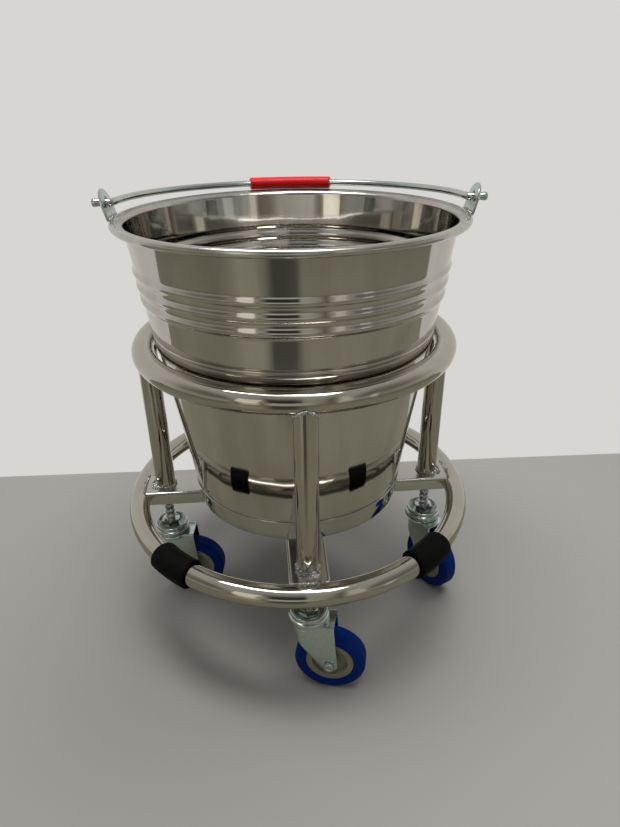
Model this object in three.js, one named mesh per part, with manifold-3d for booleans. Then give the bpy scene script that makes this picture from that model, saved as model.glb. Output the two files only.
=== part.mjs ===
// A kick bucket: a loose stainless steel pail with a wire bail, standing in a round tube frame
// that rolls on swivel casters. Millimetres, +Z up. The origin is on the pail's axis, on the floor.
// The front leg is at -Y and the bail swings about X.

import * as THREE from 'three';
import { mergeVertices } from 'three/addons/utils/BufferGeometryUtils.js';
import Module from 'manifold-3d';

const wasm = await Module();
wasm.setup();

// Clearances between neighbouring pieces.
const GAP = 0.3;
const RUNNING_GAP = 0.6;

// How far a cut runs past the face that it opens.
const CUT_PAST = 1;

// Casters: wheel, pressed fork, swivel head and threaded stem.
const WHEEL_D = 63.5;
const TYRE_WIDTH = 17;
const TREAD_WIDTH = 11.4;
const WHEEL_SIDE_GAP = 1.2;
const TYRE_SHOULDER = 2.6;
const HUB_D = 43;
const HUB_FACE_WIDTH = 15.4;
const HUB_RECESS_D = 31;
const HUB_WEB = 6;
const HUB_BOSS_D = 17;
const BUSH_WALL = 1.8;
const AXLE_D = 6;
const AXLE_HEX = 10;
const AXLE_HEAD_D = 8.8;
const AXLE_HEAD_HEIGHT = 3.2;
const AXLE_NUT_HEIGHT = 5;
const AXLE_TIP = 1.5;
const TRAIL = 19.4;
const FORK_SHEET = 2;
const FORK_HEADROOM = 12;
const FORK_EYE_R = 7.2;
const FORK_REAR = 23.3;
const FORK_NOSE = 14.9;
const FORK_KINK_X = -8.8;
const FORK_KINK_DROP = 20;
const RACE_R = 17;
const RACE_DEPTH = 7;
const KINGPIN_D = 10;
const KINGPIN_HEAD_D = 16;
const KINGPIN_HEAD_HEIGHT = 3;
const BALL_D = 3;
const BALL_CIRCLE_R = 12.7;
const CUP_ROOM = 1.6;
const CUP_WALL = 2.2;
const CUP_FLOOR = 2.8;
const CUP_RIM_HEIGHT = 4.3;
const CUP_RIM_SETBACK = 1.5;
const CUP_RIM_WALL = 3;
const STEM_D = 10;
const STEM_HEX = 17;
const STEM_HEX_HEIGHT = 7;
const STEM_SHOWN = 32;
const STEM_GRIP = 20;

// Which way each caster trails, in degrees from +X.
const HEADING = { front: -14, right: -63, rear: 28, left: -5 };

// How far the loose pail stands turned in its frame, in degrees.
const PAIL_TURN = -2.5;

// Frame: two rings and four legs of one tube, four folded channel bars and four split bumpers.
const TUBE_D = 19;
const TUBE_WALL = 1.5;
const VENT_D = 4;
const RING_CLEARANCE = 0.8;
const RING_BELOW_SHOULDER = 16.5;
const LEG_TO_RING = 6;
const LEG_PLUG = 25;
const BAR_WIDTH = 34;
const BAR_HEIGHT = 13.5;
const BAR_WALL = 2;
const BAR_DROP = 1.5;
const BAR_UNDER_FOOT = 26;
const BUMPER_WALL = 3;
const BUMPER_LENGTH = 38;
const BUMPER_SLOT_FROM = 195;
const BUMPER_SLOT_TO = 265;

// Pail: drawn sheet with a shoulder, swaged beads and a flared, rolled rim, on a foot band.
const PAIL_SHEET = 1;
const FOOT_HEIGHT = 19.5;
const FLOOR_RISE = 5;
const BASE_R = 98;
const BASE_CORNER = 6;
const SHOULDER_R = 123;
const SHOULDER_HEIGHT = 168.5;
const UPPER_HEIGHT = 91.5;
const UPPER_FLARE = 11.6;
const SHOULDER_STEP = 2.7;
const SHOULDER_DROP = 13;
const RIM_OVERHANG = 10;
const ROLL_R = 3;
const FLARE_HEIGHT = 5.5;
const BEAD_COUNT = 3;
const BEAD_PITCH = 11.2;
const BEAD_PROUD = 1.8;
const BEAD_ABOVE_SHOULDER = 31.2;

// Ears, bail and grip.
const EAR_SHEET = 2;
const EAR_WIDTH = 27.6;
const EAR_ABOVE_PIVOT = 11;
const EAR_LEAN = THREE.MathUtils.degToRad(15);
const EAR_HOLE_PLAY = 1.2;
const PIVOT_RISE = 9.1;
const WIRE_D = 6;
const BAIL_BEND_R = 5;
const STUB_LENGTH = 10;
const STUB_HEAD_LENGTH = 3.5;
const STUB_HEAD_D = 6.8;
const GRIP_D = 11.4;
const GRIP_LENGTH = 82;

// Facets of the round forms.
const RING_SIDES = 40;
const TUBE_SIDES = 12;
const BORE_SIDES = 6;
const PAIL_SIDES = 36;
const WHEEL_SIDES = 20;
const SMALL_SIDES = 12;
const WIRE_SIDES = 8;
const BAIL_SIDES = 60;

// Heights, from the floor up.
const WHEEL_R = WHEEL_D / 2;
const FORK_INSIDE = TYRE_WIDTH + 2 * WHEEL_SIDE_GAP;
const FORK_WIDTH = FORK_INSIDE + 2 * FORK_SHEET;
const FORK_TOP_Z = WHEEL_D + FORK_HEADROOM + FORK_SHEET;
const BALL_Z = FORK_TOP_Z + GAP + BALL_D / 2;
const CUP_UNDER_Z = BALL_Z + BALL_D / 2 + GAP;
const CUP_FLOOR_Z = CUP_UNDER_Z + CUP_FLOOR;
const CUP_TOP_Z = CUP_FLOOR_Z + CUP_RIM_HEIGHT;
const CUP_R = BALL_CIRCLE_R + BALL_D / 2 + CUP_ROOM + CUP_WALL;
const BAR_BOTTOM_Z = CUP_TOP_Z + STEM_SHOWN;
const BAR_TOP_Z = BAR_BOTTOM_Z + BAR_HEIGHT;
const BOTTOM_RING_Z = BAR_TOP_Z + BAR_DROP - TUBE_D / 2;
const PAIL_Z = BAR_TOP_Z + GAP;
const PAIL_HEIGHT = SHOULDER_HEIGHT + UPPER_HEIGHT;
const TOP_RING_Z = PAIL_Z + SHOULDER_HEIGHT - RING_BELOW_SHOULDER;
const RIM_TOP_Z = PAIL_Z + PAIL_HEIGHT;

// Distances from the pail's axis.
const TOP_RING_R = SHOULDER_R + RING_CLEARANCE + TUBE_D / 2;
const LEG_R = TOP_RING_R;
const BOTTOM_RING_R = LEG_R + TUBE_D + LEG_TO_RING;
const MOUTH_R = SHOULDER_R + UPPER_FLARE;
const RIM_R = MOUTH_R + RIM_OVERHANG;
const ROLL_CENTRE_R = RIM_R - ROLL_R;
const EAR_OFF_ROLL = ROLL_R + GAP + EAR_SHEET / 2;
const EAR_ROOT_R = ROLL_CENTRE_R + EAR_OFF_ROLL * Math.cos(EAR_LEAN);
const EAR_ROOT_Z = RIM_TOP_Z - ROLL_R - EAR_OFF_ROLL * Math.sin(EAR_LEAN);
const PIVOT_Z = RIM_TOP_Z + PIVOT_RISE;
const EAR_R = EAR_ROOT_R + (PIVOT_Z - EAR_ROOT_Z) * Math.tan(EAR_LEAN);
const EAR_TO_WIRE = WIRE_D / 2 + RUNNING_GAP + EAR_SHEET / 2;
const BAIL_R = EAR_R - EAR_TO_WIRE / Math.cos(EAR_LEAN);
const STUB_END_R = EAR_R + EAR_SHEET / 2 + STUB_LENGTH;

const STEEL = new THREE.MeshStandardMaterial({ color: 0xb9b6ad, roughness: 0.16, metalness: 1 });
const SATIN_STEEL = new THREE.MeshStandardMaterial({ color: 0xa9a79f, roughness: 0.3, metalness: 1 });
const ZINC = new THREE.MeshStandardMaterial({ color: 0xb4bab8, roughness: 0.32, metalness: 1 });
const DARK_ZINC = new THREE.MeshStandardMaterial({ color: 0x8b908f, roughness: 0.4, metalness: 1 });
const BLUE_TYRE = new THREE.MeshStandardMaterial({ color: 0x0b1f78, roughness: 0.38, metalness: 0 });
const CREAM_HUB = new THREE.MeshStandardMaterial({ color: 0xcbc3a0, roughness: 0.5, metalness: 0 });
const BLACK_RUBBER = new THREE.MeshStandardMaterial({ color: 0x131312, roughness: 0.75, metalness: 0 });
const RED_GRIP = new THREE.MeshStandardMaterial({ color: 0xd0161c, roughness: 0.32, metalness: 0 });

const rad = THREE.MathUtils.degToRad;

// Six times the signed volume inside a list of triangles: positive when its faces point out.
function signedVolume(position, index) {
  const a = new THREE.Vector3();
  const b = new THREE.Vector3();
  const c = new THREE.Vector3();
  let sum = 0;
  for (let i = 0; i < index.length; i += 3) {
    a.fromBufferAttribute(position, index[i]);
    b.fromBufferAttribute(position, index[i + 1]);
    c.fromBufferAttribute(position, index[i + 2]);
    sum += a.dot(b.cross(c));
  }
  return sum;
}

// One closed skin: shared corners merged, collapsed faces dropped, faces pointing out.
function closed(geometry) {
  const bare = new THREE.BufferGeometry();
  bare.setAttribute('position', geometry.getAttribute('position'));
  bare.setIndex(geometry.index);
  const merged = mergeVertices(bare, 1e-4);
  const all = merged.index.array;
  const kept = [];
  for (let i = 0; i < all.length; i += 3) {
    const [a, b, c] = [all[i], all[i + 1], all[i + 2]];
    if (a !== b && b !== c && c !== a) kept.push(a, b, c);
  }
  if (signedVolume(merged.getAttribute('position'), kept) < 0) kept.reverse();
  merged.setIndex(kept);
  return merged;
}

function toSolid(geometry) {
  const skin = closed(geometry);
  const vertProperties = new Float32Array(skin.getAttribute('position').array);
  const triVerts = new Uint32Array(skin.index.array);
  return new wasm.Manifold(new wasm.Mesh({ numProp: 3, vertProperties, triVerts }));
}

function toGeometry(solid) {
  const mesh = solid.getMesh();
  const geometry = new THREE.BufferGeometry();
  geometry.setAttribute('position', new THREE.BufferAttribute(new Float32Array(mesh.vertProperties), 3));
  geometry.setIndex(Array.from(mesh.triVerts));
  return geometry;
}

function join(first, ...others) {
  return toGeometry(others.reduce((sum, next) => sum.add(toSolid(next)), toSolid(first)));
}

function cut(first, ...others) {
  return toGeometry(others.reduce((rest, next) => rest.subtract(toSolid(next)), toSolid(first)));
}

function common(first, second) {
  return toGeometry(toSolid(first).intersect(toSolid(second)));
}

// A form turned about Z from [radius, height] points. With flats, a facet's middle is on the radius.
function turned(points, sides, { flats = false, twist = 0 } = {}) {
  const grow = flats ? 1 / Math.cos(Math.PI / sides) : 1;
  const profile = points.map(([r, z]) => new THREE.Vector2(r * grow, z));
  const geometry = new THREE.LatheGeometry(profile, sides, twist);
  return geometry.rotateX(Math.PI / 2);
}

// The same, for a ring-like form whose profile comes back to its first point.
function turnedRing(points, sides, options) {
  return turned([...points, points[0]], sides, options);
}

function circlePoints(radius, sides, centreR = 0, centreZ = 0) {
  return Array.from({ length: sides }, (_, i) => {
    const angle = (2 * Math.PI * i) / sides;
    return [centreR + radius * Math.cos(angle), centreZ + radius * Math.sin(angle)];
  });
}

function tubeRing(ringR, tubeR, z, sides = TUBE_SIDES, ringSides = RING_SIDES) {
  return turnedRing(circlePoints(tubeR, sides, ringR, z), ringSides, { twist: Math.PI / 2 });
}

function rod(radius, fromZ, toZ, sides = SMALL_SIDES, options = {}) {
  return turned([[0, fromZ], [radius, fromZ], [radius, toZ], [0, toZ]], sides, options);
}

function pipe(outerR, innerR, fromZ, toZ, sides = SMALL_SIDES) {
  return turnedRing([[innerR, fromZ], [outerR, fromZ], [outerR, toZ], [innerR, toZ]], sides);
}

function hexagon(acrossFlats, fromZ, toZ) {
  return rod(acrossFlats / 2, fromZ, toZ, 6, { flats: true });
}

function prism(shape, depth, curveSegments = 8) {
  return new THREE.ExtrudeGeometry(shape, { depth, bevelEnabled: false, curveSegments });
}

// A wedge about Z that holds the directions within the half angle of +X.
function wedge(halfAngle, reach, fromZ, toZ) {
  const shape = new THREE.Shape();
  shape.moveTo(0, 0);
  shape.lineTo(reach * Math.cos(halfAngle), -reach * Math.sin(halfAngle));
  shape.lineTo(reach * Math.cos(halfAngle), reach * Math.sin(halfAngle));
  return prism(shape, toZ - fromZ).translate(0, 0, fromZ);
}

// A hollow tube ring with one vent hole, as drilled before its joints are welded.
function frameRing(ringR, z, ventAngle, ventUp) {
  const outside = tubeRing(ringR, TUBE_D / 2, z);
  const bore = tubeRing(ringR, TUBE_D / 2 - TUBE_WALL, z, BORE_SIDES);
  const vent = rod(VENT_D / 2, Math.min(0, ventUp * TUBE_D), Math.max(0, ventUp * TUBE_D), 8);
  vent.translate(ringR * Math.cos(ventAngle), ringR * Math.sin(ventAngle), z);
  return cut(outside, bore, vent);
}

// A leg along Z at x = LEG_R: a tube with a threaded plug in its foot and a saddle cut under the ring.
function legGeometry() {
  const plugTop = BAR_TOP_Z + GAP + LEG_PLUG;
  const bore = TUBE_D / 2 - TUBE_WALL;
  const thread = STEM_D / 2 + GAP;
  const profile = [
    [thread, BAR_TOP_Z + GAP],
    [TUBE_D / 2, BAR_TOP_Z + GAP],
    [TUBE_D / 2, TOP_RING_Z - TUBE_WALL],
    [bore, TOP_RING_Z - TUBE_WALL],
    [bore, plugTop],
    [thread, plugTop],
  ];
  const tube = turnedRing(profile, SMALL_SIDES).translate(LEG_R, 0, 0);
  const saddleR = (TUBE_D / 2 + GAP) / Math.cos(Math.PI / TUBE_SIDES);
  return cut(tube, tubeRing(TOP_RING_R, saddleR, TOP_RING_Z));
}

// A bar along X: a channel folded from sheet, open below, coped to the ring and drilled for a stem.
function barGeometry() {
  const half = BAR_WIDTH / 2;
  const inner = half - BAR_WALL;
  const section = new THREE.Shape();
  section.moveTo(-half, 0);
  section.lineTo(-inner, 0);
  section.lineTo(-inner, BAR_HEIGHT - BAR_WALL);
  section.lineTo(inner, BAR_HEIGHT - BAR_WALL);
  section.lineTo(inner, 0);
  section.lineTo(half, 0);
  section.lineTo(half, BAR_HEIGHT);
  section.lineTo(-half, BAR_HEIGHT);
  const innerEnd = footR(0) - BAR_UNDER_FOOT;
  const channel = prism(section, BOTTOM_RING_R - innerEnd);
  channel.rotateX(Math.PI / 2).rotateZ(Math.PI / 2).translate(innerEnd, 0, BAR_BOTTOM_Z);
  const ring = tubeRing(BOTTOM_RING_R, TUBE_D / 2 + GAP, BOTTOM_RING_Z);
  const low = BAR_BOTTOM_Z - CUT_PAST;
  const high = BAR_TOP_Z + CUT_PAST;
  const hole = rod(STEM_D / 2 + GAP, low, high).translate(LEG_R, 0, 0);
  const outer = pipe(BOTTOM_RING_R + TUBE_D, BOTTOM_RING_R, low, high, RING_SIDES);
  return cut(channel, ring, hole, outer);
}

// A bumper at an angle round the ring: a sleeve moulded to the ring's curve, split along its lower inner side.
function bumperGeometry(angle) {
  const sleeve = tubeRing(BOTTOM_RING_R, TUBE_D / 2 + GAP + BUMPER_WALL, BOTTOM_RING_Z);
  const ring = tubeRing(BOTTOM_RING_R, TUBE_D / 2 + GAP, BOTTOM_RING_Z);
  const mouth = TUBE_D + BUMPER_WALL;
  const slot = [BUMPER_SLOT_FROM, BUMPER_SLOT_TO].map((edge) => [
    BOTTOM_RING_R + mouth * Math.cos(rad(edge)),
    BOTTOM_RING_Z + mouth * Math.sin(rad(edge)),
  ]);
  const split = turnedRing([[BOTTOM_RING_R, BOTTOM_RING_Z], ...slot], RING_SIDES, { twist: Math.PI / 2 });
  const halfAngle = BUMPER_LENGTH / 2 / BOTTOM_RING_R;
  const reach = 2 * BOTTOM_RING_R;
  const span = wedge(halfAngle, reach, BOTTOM_RING_Z - TUBE_D, BOTTOM_RING_Z + TUBE_D);
  return common(cut(sleeve, ring, split), span.rotateZ(rad(angle)));
}

// Outer radius of the pail's wall at a height above its foot, straight on each side of the shoulder.
const NECK_R = SHOULDER_R - SHOULDER_STEP;
const NECK_HEIGHT = SHOULDER_HEIGHT - SHOULDER_DROP;
const FLARE_FROM = PAIL_HEIGHT - FLARE_HEIGHT;

function lowerWallR(z) {
  return THREE.MathUtils.mapLinear(z, FLOOR_RISE, NECK_HEIGHT, BASE_R, NECK_R);
}

function upperWallR(z) {
  return THREE.MathUtils.mapLinear(z, SHOULDER_HEIGHT, FLARE_FROM, SHOULDER_R, MOUTH_R);
}

function footR(z) {
  return lowerWallR(z) + GAP + PAIL_SHEET;
}

// The wall's stations from the base corner up to the flare, as [outer radius, height].
function wallStations() {
  const cornerTop = FLOOR_RISE + BASE_CORNER;
  const stations = [[lowerWallR(cornerTop), cornerTop]];
  for (const turn of [0, 30, 60, 90]) {
    const r = NECK_R + SHOULDER_STEP * Math.sin(rad(turn));
    const z = NECK_HEIGHT + SHOULDER_DROP * (1 - Math.cos(rad(turn)));
    stations.push([r, z]);
  }
  const firstValley = SHOULDER_HEIGHT + BEAD_ABOVE_SHOULDER - BEAD_PITCH / 2;
  stations.push([upperWallR(firstValley), firstValley]);
  for (let i = 0; i < BEAD_COUNT; i += 1) {
    const crest = firstValley + (i + 0.5) * BEAD_PITCH;
    const valley = firstValley + (i + 1) * BEAD_PITCH;
    stations.push([upperWallR(crest) + BEAD_PROUD, crest]);
    stations.push([upperWallR(valley), valley]);
  }
  stations.push([MOUTH_R, FLARE_FROM]);
  return stations;
}

// Points on a quarter ellipse that leaves the wall upright and ends level over the roll's centre.
function flarePoints(wallR, topZ, turns) {
  const width = ROLL_CENTRE_R - wallR;
  const height = topZ - FLARE_FROM;
  return turns.map((turn) => [
    ROLL_CENTRE_R - width * Math.cos(rad(turn)),
    FLARE_FROM + height * Math.sin(rad(turn)),
  ]);
}

function pailBodyGeometry() {
  const walls = wallStations();
  const rollZ = PAIL_HEIGHT - ROLL_R;
  const roll = [170, 218, 266, 314, 362, 410].map((turn) => [
    ROLL_CENTRE_R + ROLL_R * Math.cos(rad(turn)),
    rollZ + ROLL_R * Math.sin(rad(turn)),
  ]);
  const floorTop = FLOOR_RISE + PAIL_SHEET;
  const cornerR = BASE_R - BASE_CORNER;
  const bend = BASE_CORNER * (1 - Math.SQRT1_2);
  const outside = [
    [0, FLOOR_RISE],
    [cornerR, FLOOR_RISE],
    [lowerWallR(FLOOR_RISE + bend) - bend, FLOOR_RISE + bend],
    ...walls,
    ...flarePoints(MOUTH_R, PAIL_HEIGHT - PAIL_SHEET, [30, 60]),
    ...roll,
  ];
  const inside = [
    ...flarePoints(MOUTH_R - PAIL_SHEET, PAIL_HEIGHT, [90, 60, 30]),
    ...walls.map(([r, z]) => [r - PAIL_SHEET, z]).reverse(),
    [lowerWallR(floorTop + bend) - bend - PAIL_SHEET, floorTop + bend],
    [cornerR - PAIL_SHEET, floorTop],
    [0, floorTop],
  ];
  return turned([...outside, ...inside], PAIL_SIDES, { twist: Math.PI / 2 });
}

function pailFootGeometry() {
  const profile = [
    [footR(0) - PAIL_SHEET, 0],
    [footR(0), 0],
    [footR(FOOT_HEIGHT), FOOT_HEIGHT],
    [footR(FOOT_HEIGHT) - PAIL_SHEET, FOOT_HEIGHT],
  ];
  return turnedRing(profile, PAIL_SIDES, { twist: Math.PI / 2 });
}

// An ear on +X: a round-topped plate welded to the outside of the rolled rim, leaning outwards.
function earGeometry() {
  const half = EAR_WIDTH / 2;
  const pivotUp = (PIVOT_Z - EAR_ROOT_Z) / Math.cos(EAR_LEAN);
  const crownUp = pivotUp + EAR_ABOVE_PIVOT - half;
  const outline = new THREE.Shape();
  outline.moveTo(half, 0);
  outline.lineTo(half, crownUp);
  outline.absarc(0, crownUp, half, 0, Math.PI, false);
  outline.lineTo(-half, 0);
  const plate = prism(outline, EAR_SHEET, 8).translate(0, 0, -EAR_SHEET / 2);
  plate.rotateX(Math.PI / 2).rotateZ(Math.PI / 2).rotateY(EAR_LEAN);
  plate.translate(EAR_ROOT_R, 0, EAR_ROOT_Z);
  const hole = rod(WIRE_D / 2 + EAR_HOLE_PLAY, EAR_R - EAR_WIDTH, EAR_R + EAR_WIDTH);
  hole.rotateY(Math.PI / 2).translate(0, 0, PIVOT_Z);
  return cut(plate, hole);
}

// The bail's route about its pivot: stub, bend and half of the bow, from the +X end to the middle.
function bailHalfRoute() {
  const bendStart = BAIL_R + BAIL_BEND_R;
  const neck = STUB_END_R - STUB_HEAD_LENGTH;
  const route = [
    { x: STUB_END_R, y: 0, r: STUB_HEAD_D / 2 },
    { x: neck, y: 0, r: STUB_HEAD_D / 2 },
    { x: neck - (STUB_HEAD_D - WIRE_D) / 2, y: 0, r: WIRE_D / 2 },
  ];
  for (const turn of [0, 30, 60]) {
    const x = bendStart - BAIL_BEND_R * Math.sin(rad(turn));
    const y = BAIL_BEND_R * (1 - Math.cos(rad(turn)));
    route.push({ x, y, r: WIRE_D / 2 });
  }
  const step = (2 * Math.PI) / BAIL_SIDES;
  for (let angle = step; angle <= Math.PI / 2 + step / 2; angle += step) {
    route.push({ x: BAIL_R * Math.cos(angle), y: BAIL_R * Math.sin(angle), r: WIRE_D / 2 });
  }
  return route;
}

// A round wire along a flat route, with a closed cap at each end.
function wireGeometry(route) {
  const position = [];
  const index = [];
  const last = route.length - 1;
  route.forEach((point, i) => {
    const before = route[Math.max(i - 1, 0)];
    const after = route[Math.min(i + 1, last)];
    const along = new THREE.Vector2(after.x - before.x, after.y - before.y).normalize();
    for (let k = 0; k < WIRE_SIDES; k += 1) {
      const angle = (2 * Math.PI * k) / WIRE_SIDES;
      const side = point.r * Math.cos(angle);
      position.push(point.x - along.y * side, point.y + along.x * side, point.r * Math.sin(angle));
    }
  });
  for (let i = 0; i < last; i += 1) {
    for (let k = 0; k < WIRE_SIDES; k += 1) {
      const a = i * WIRE_SIDES + k;
      const b = i * WIRE_SIDES + ((k + 1) % WIRE_SIDES);
      index.push(a, b, a + WIRE_SIDES, b, b + WIRE_SIDES, a + WIRE_SIDES);
    }
  }
  for (let k = 1; k < WIRE_SIDES - 1; k += 1) {
    const end = last * WIRE_SIDES;
    index.push(0, k + 1, k, end, end + k, end + k + 1);
  }
  const geometry = new THREE.BufferGeometry();
  geometry.setAttribute('position', new THREE.Float32BufferAttribute(position, 3));
  geometry.setIndex(index);
  return closed(geometry);
}

function bailWireGeometry() {
  const half = bailHalfRoute();
  const mirrored = half.slice(0, -1).map(({ x, y, r }) => ({ x: -x, y, r }));
  return wireGeometry([...half, ...mirrored.reverse()]);
}

function bailGripGeometry() {
  const outside = tubeRing(BAIL_R, GRIP_D / 2, 0, WIRE_SIDES, BAIL_SIDES);
  const bore = tubeRing(BAIL_R, WIRE_D / 2 + GAP, 0, WIRE_SIDES, BAIL_SIDES);
  const span = wedge(GRIP_LENGTH / 2 / BAIL_R, 2 * BAIL_R, -GRIP_D, GRIP_D).rotateZ(Math.PI / 2);
  return common(cut(outside, bore), span);
}

// How far the bow drops behind the pivot before the grip comes to rest on the rolled rim.
function bailRestAngle() {
  const touch = GRIP_D / 2 + ROLL_R + GAP;
  const across = BAIL_R - ROLL_CENTRE_R;
  const above = Math.sqrt(touch * touch - across * across);
  return Math.asin((PIVOT_RISE + ROLL_R - above) / BAIL_R);
}

// Caster pieces, about the swivel axis, with the wheel trailing along +X.

function stemGeometry() {
  const hexFrom = CUP_FLOOR_Z + GAP;
  const pinUnder = FORK_TOP_Z - FORK_SHEET - GAP;
  const head = rod(KINGPIN_HEAD_D / 2, pinUnder - KINGPIN_HEAD_HEIGHT, pinUnder);
  const pin = rod(KINGPIN_D / 2, pinUnder - KINGPIN_HEAD_HEIGHT / 2, hexFrom + STEM_HEX_HEIGHT / 2);
  const hex = hexagon(STEM_HEX, hexFrom, hexFrom + STEM_HEX_HEIGHT);
  const thread = rod(STEM_D / 2, hexFrom + STEM_HEX_HEIGHT / 2, BAR_TOP_Z + STEM_GRIP);
  return join(head, pin, hex, thread);
}

function cupGeometry() {
  const boreR = KINGPIN_D / 2 + GAP;
  const rimOuter = CUP_R - CUP_RIM_SETBACK;
  const rimInner = rimOuter - CUP_RIM_WALL;
  const skirtFrom = FORK_TOP_Z + 2 * GAP;
  return turnedRing([
    [boreR, CUP_UNDER_Z],
    [CUP_R - CUP_WALL, CUP_UNDER_Z],
    [CUP_R - CUP_WALL, skirtFrom],
    [CUP_R, skirtFrom],
    [CUP_R, CUP_FLOOR_Z],
    [rimOuter, CUP_FLOOR_Z + CUP_RIM_SETBACK],
    [rimOuter, CUP_TOP_Z],
    [rimInner, CUP_TOP_Z],
    [rimInner, CUP_FLOOR_Z],
    [boreR, CUP_FLOOR_Z],
  ], SMALL_SIDES);
}

function ballRingGeometry() {
  const inner = BALL_CIRCLE_R - BALL_D / 2;
  const outer = BALL_CIRCLE_R + BALL_D / 2;
  return pipe(outer, inner, BALL_Z - BALL_D / 2, BALL_Z + BALL_D / 2);
}

// Plan of the fork, open at the rear and rounded at the nose, set in from the outside by the inset.
function forkPlan(inset, rear) {
  const half = FORK_WIDTH / 2 - inset;
  const noseCentre = FORK_WIDTH / 2 - FORK_NOSE;
  const plan = new THREE.Shape();
  plan.moveTo(rear, -half);
  plan.lineTo(rear, half);
  plan.lineTo(noseCentre, half);
  plan.absarc(noseCentre, 0, half, Math.PI / 2, 1.5 * Math.PI, false);
  return plan;
}

function forkGeometry() {
  const rearReach = TRAIL + 2 * FORK_EYE_R;
  const inside = FORK_TOP_Z - FORK_SHEET;
  const block = prism(forkPlan(0, rearReach), FORK_TOP_Z, 5);
  const race = turned([
    [0, FORK_TOP_Z - RACE_DEPTH],
    [FORK_WIDTH / 2 - FORK_SHEET / 2, FORK_TOP_Z - RACE_DEPTH],
    [RACE_R, FORK_TOP_Z - FORK_SHEET / 2],
    [RACE_R, FORK_TOP_Z],
    [0, FORK_TOP_Z],
  ], SMALL_SIDES);
  const hollow = prism(forkPlan(FORK_SHEET, rearReach + FORK_EYE_R), inside + CUT_PAST, 5);
  hollow.translate(0, 0, -CUT_PAST);
  const side = new THREE.Shape();
  side.moveTo(FORK_REAR, FORK_TOP_Z + CUT_PAST);
  side.lineTo(-FORK_NOSE - RACE_R, FORK_TOP_Z + CUT_PAST);
  side.lineTo(-FORK_NOSE - RACE_R, FORK_TOP_Z - RACE_DEPTH);
  side.lineTo(-FORK_NOSE, FORK_TOP_Z - RACE_DEPTH);
  side.lineTo(FORK_KINK_X, FORK_TOP_Z - FORK_KINK_DROP);
  side.absarc(TRAIL, WHEEL_R, FORK_EYE_R, rad(225), rad(370), false);
  const depth = 4 * RACE_R;
  const profile = prism(side, depth, 6).rotateX(Math.PI / 2).translate(0, depth / 2, 0);
  const axleHole = rod(AXLE_D / 2 + GAP, -FORK_WIDTH, FORK_WIDTH).rotateX(Math.PI / 2);
  axleHole.translate(TRAIL, 0, WHEEL_R);
  const pinHole = rod(KINGPIN_D / 2 + GAP, inside - RACE_DEPTH, FORK_TOP_Z + CUT_PAST);
  return cut(common(join(block, race), profile), hollow, axleHole, pinHole);
}

// Pieces on the axle are made about Z, then laid along Y. A wheel has a flat under its axle.
const WHEEL_FLATS = { flats: true, twist: Math.PI / WHEEL_SIDES };

function onAxle(geometry) {
  return geometry.rotateX(Math.PI / 2).translate(TRAIL, 0, WHEEL_R);
}

function axleGeometry() {
  const outside = FORK_WIDTH / 2 + GAP;
  const head = rod(AXLE_HEAD_D / 2, outside, outside + AXLE_HEAD_HEIGHT);
  const tip = -(outside + AXLE_NUT_HEIGHT + AXLE_TIP);
  const shank = rod(AXLE_D / 2, tip, outside + AXLE_HEAD_HEIGHT / 2);
  return onAxle(join(head, shank));
}

function axleNutGeometry() {
  const outside = FORK_WIDTH / 2 + GAP;
  const nut = hexagon(AXLE_HEX, -outside - AXLE_NUT_HEIGHT, -outside);
  const hole = rod(AXLE_D / 2 + GAP, -outside - AXLE_NUT_HEIGHT - CUT_PAST, CUT_PAST - outside);
  return onAxle(cut(nut, hole));
}

const BUSH_R = AXLE_D / 2 + GAP + BUSH_WALL;

function bushGeometry() {
  const half = FORK_INSIDE / 2 - GAP;
  return onAxle(pipe(BUSH_R, BUSH_R - BUSH_WALL, -half, half));
}

function hubGeometry() {
  const bore = BUSH_R + GAP;
  const bossHalf = FORK_INSIDE / 2 - RUNNING_GAP;
  const faceHalf = HUB_FACE_WIDTH / 2;
  const webHalf = HUB_WEB / 2;
  const half = [
    [bore, bossHalf],
    [HUB_BOSS_D / 2, bossHalf],
    [HUB_BOSS_D / 2, webHalf],
    [HUB_RECESS_D / 2, webHalf],
    [HUB_RECESS_D / 2, faceHalf],
    [HUB_D / 2, faceHalf],
  ];
  const mirrored = half.map(([r, z]) => [r, -z]).reverse();
  return onAxle(turnedRing([...half, ...mirrored], WHEEL_SIDES, WHEEL_FLATS));
}

function tyreGeometry() {
  const bore = HUB_D / 2 + GAP;
  const half = [
    [bore, TYRE_WIDTH / 2],
    [WHEEL_R - TYRE_SHOULDER, TYRE_WIDTH / 2],
    [WHEEL_R, TREAD_WIDTH / 2],
  ];
  const mirrored = half.map(([r, z]) => [r, -z]).reverse();
  return onAxle(turnedRing([...half, ...mirrored], WHEEL_SIDES, WHEEL_FLATS));
}

function piece(name, geometry, material) {
  const mesh = new THREE.Mesh(closed(geometry), material);
  mesh.name = name;
  return mesh;
}

function turnedGroup(degrees, ...children) {
  const group = new THREE.Group();
  group.rotation.z = rad(degrees);
  group.add(...children);
  return group;
}

const SIDES = { front: -90, right: 0, rear: 90, left: 180 };
const CORNERS = { front_right: -49, rear_right: 54, rear_left: 126, front_left: -134.5 };

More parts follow.
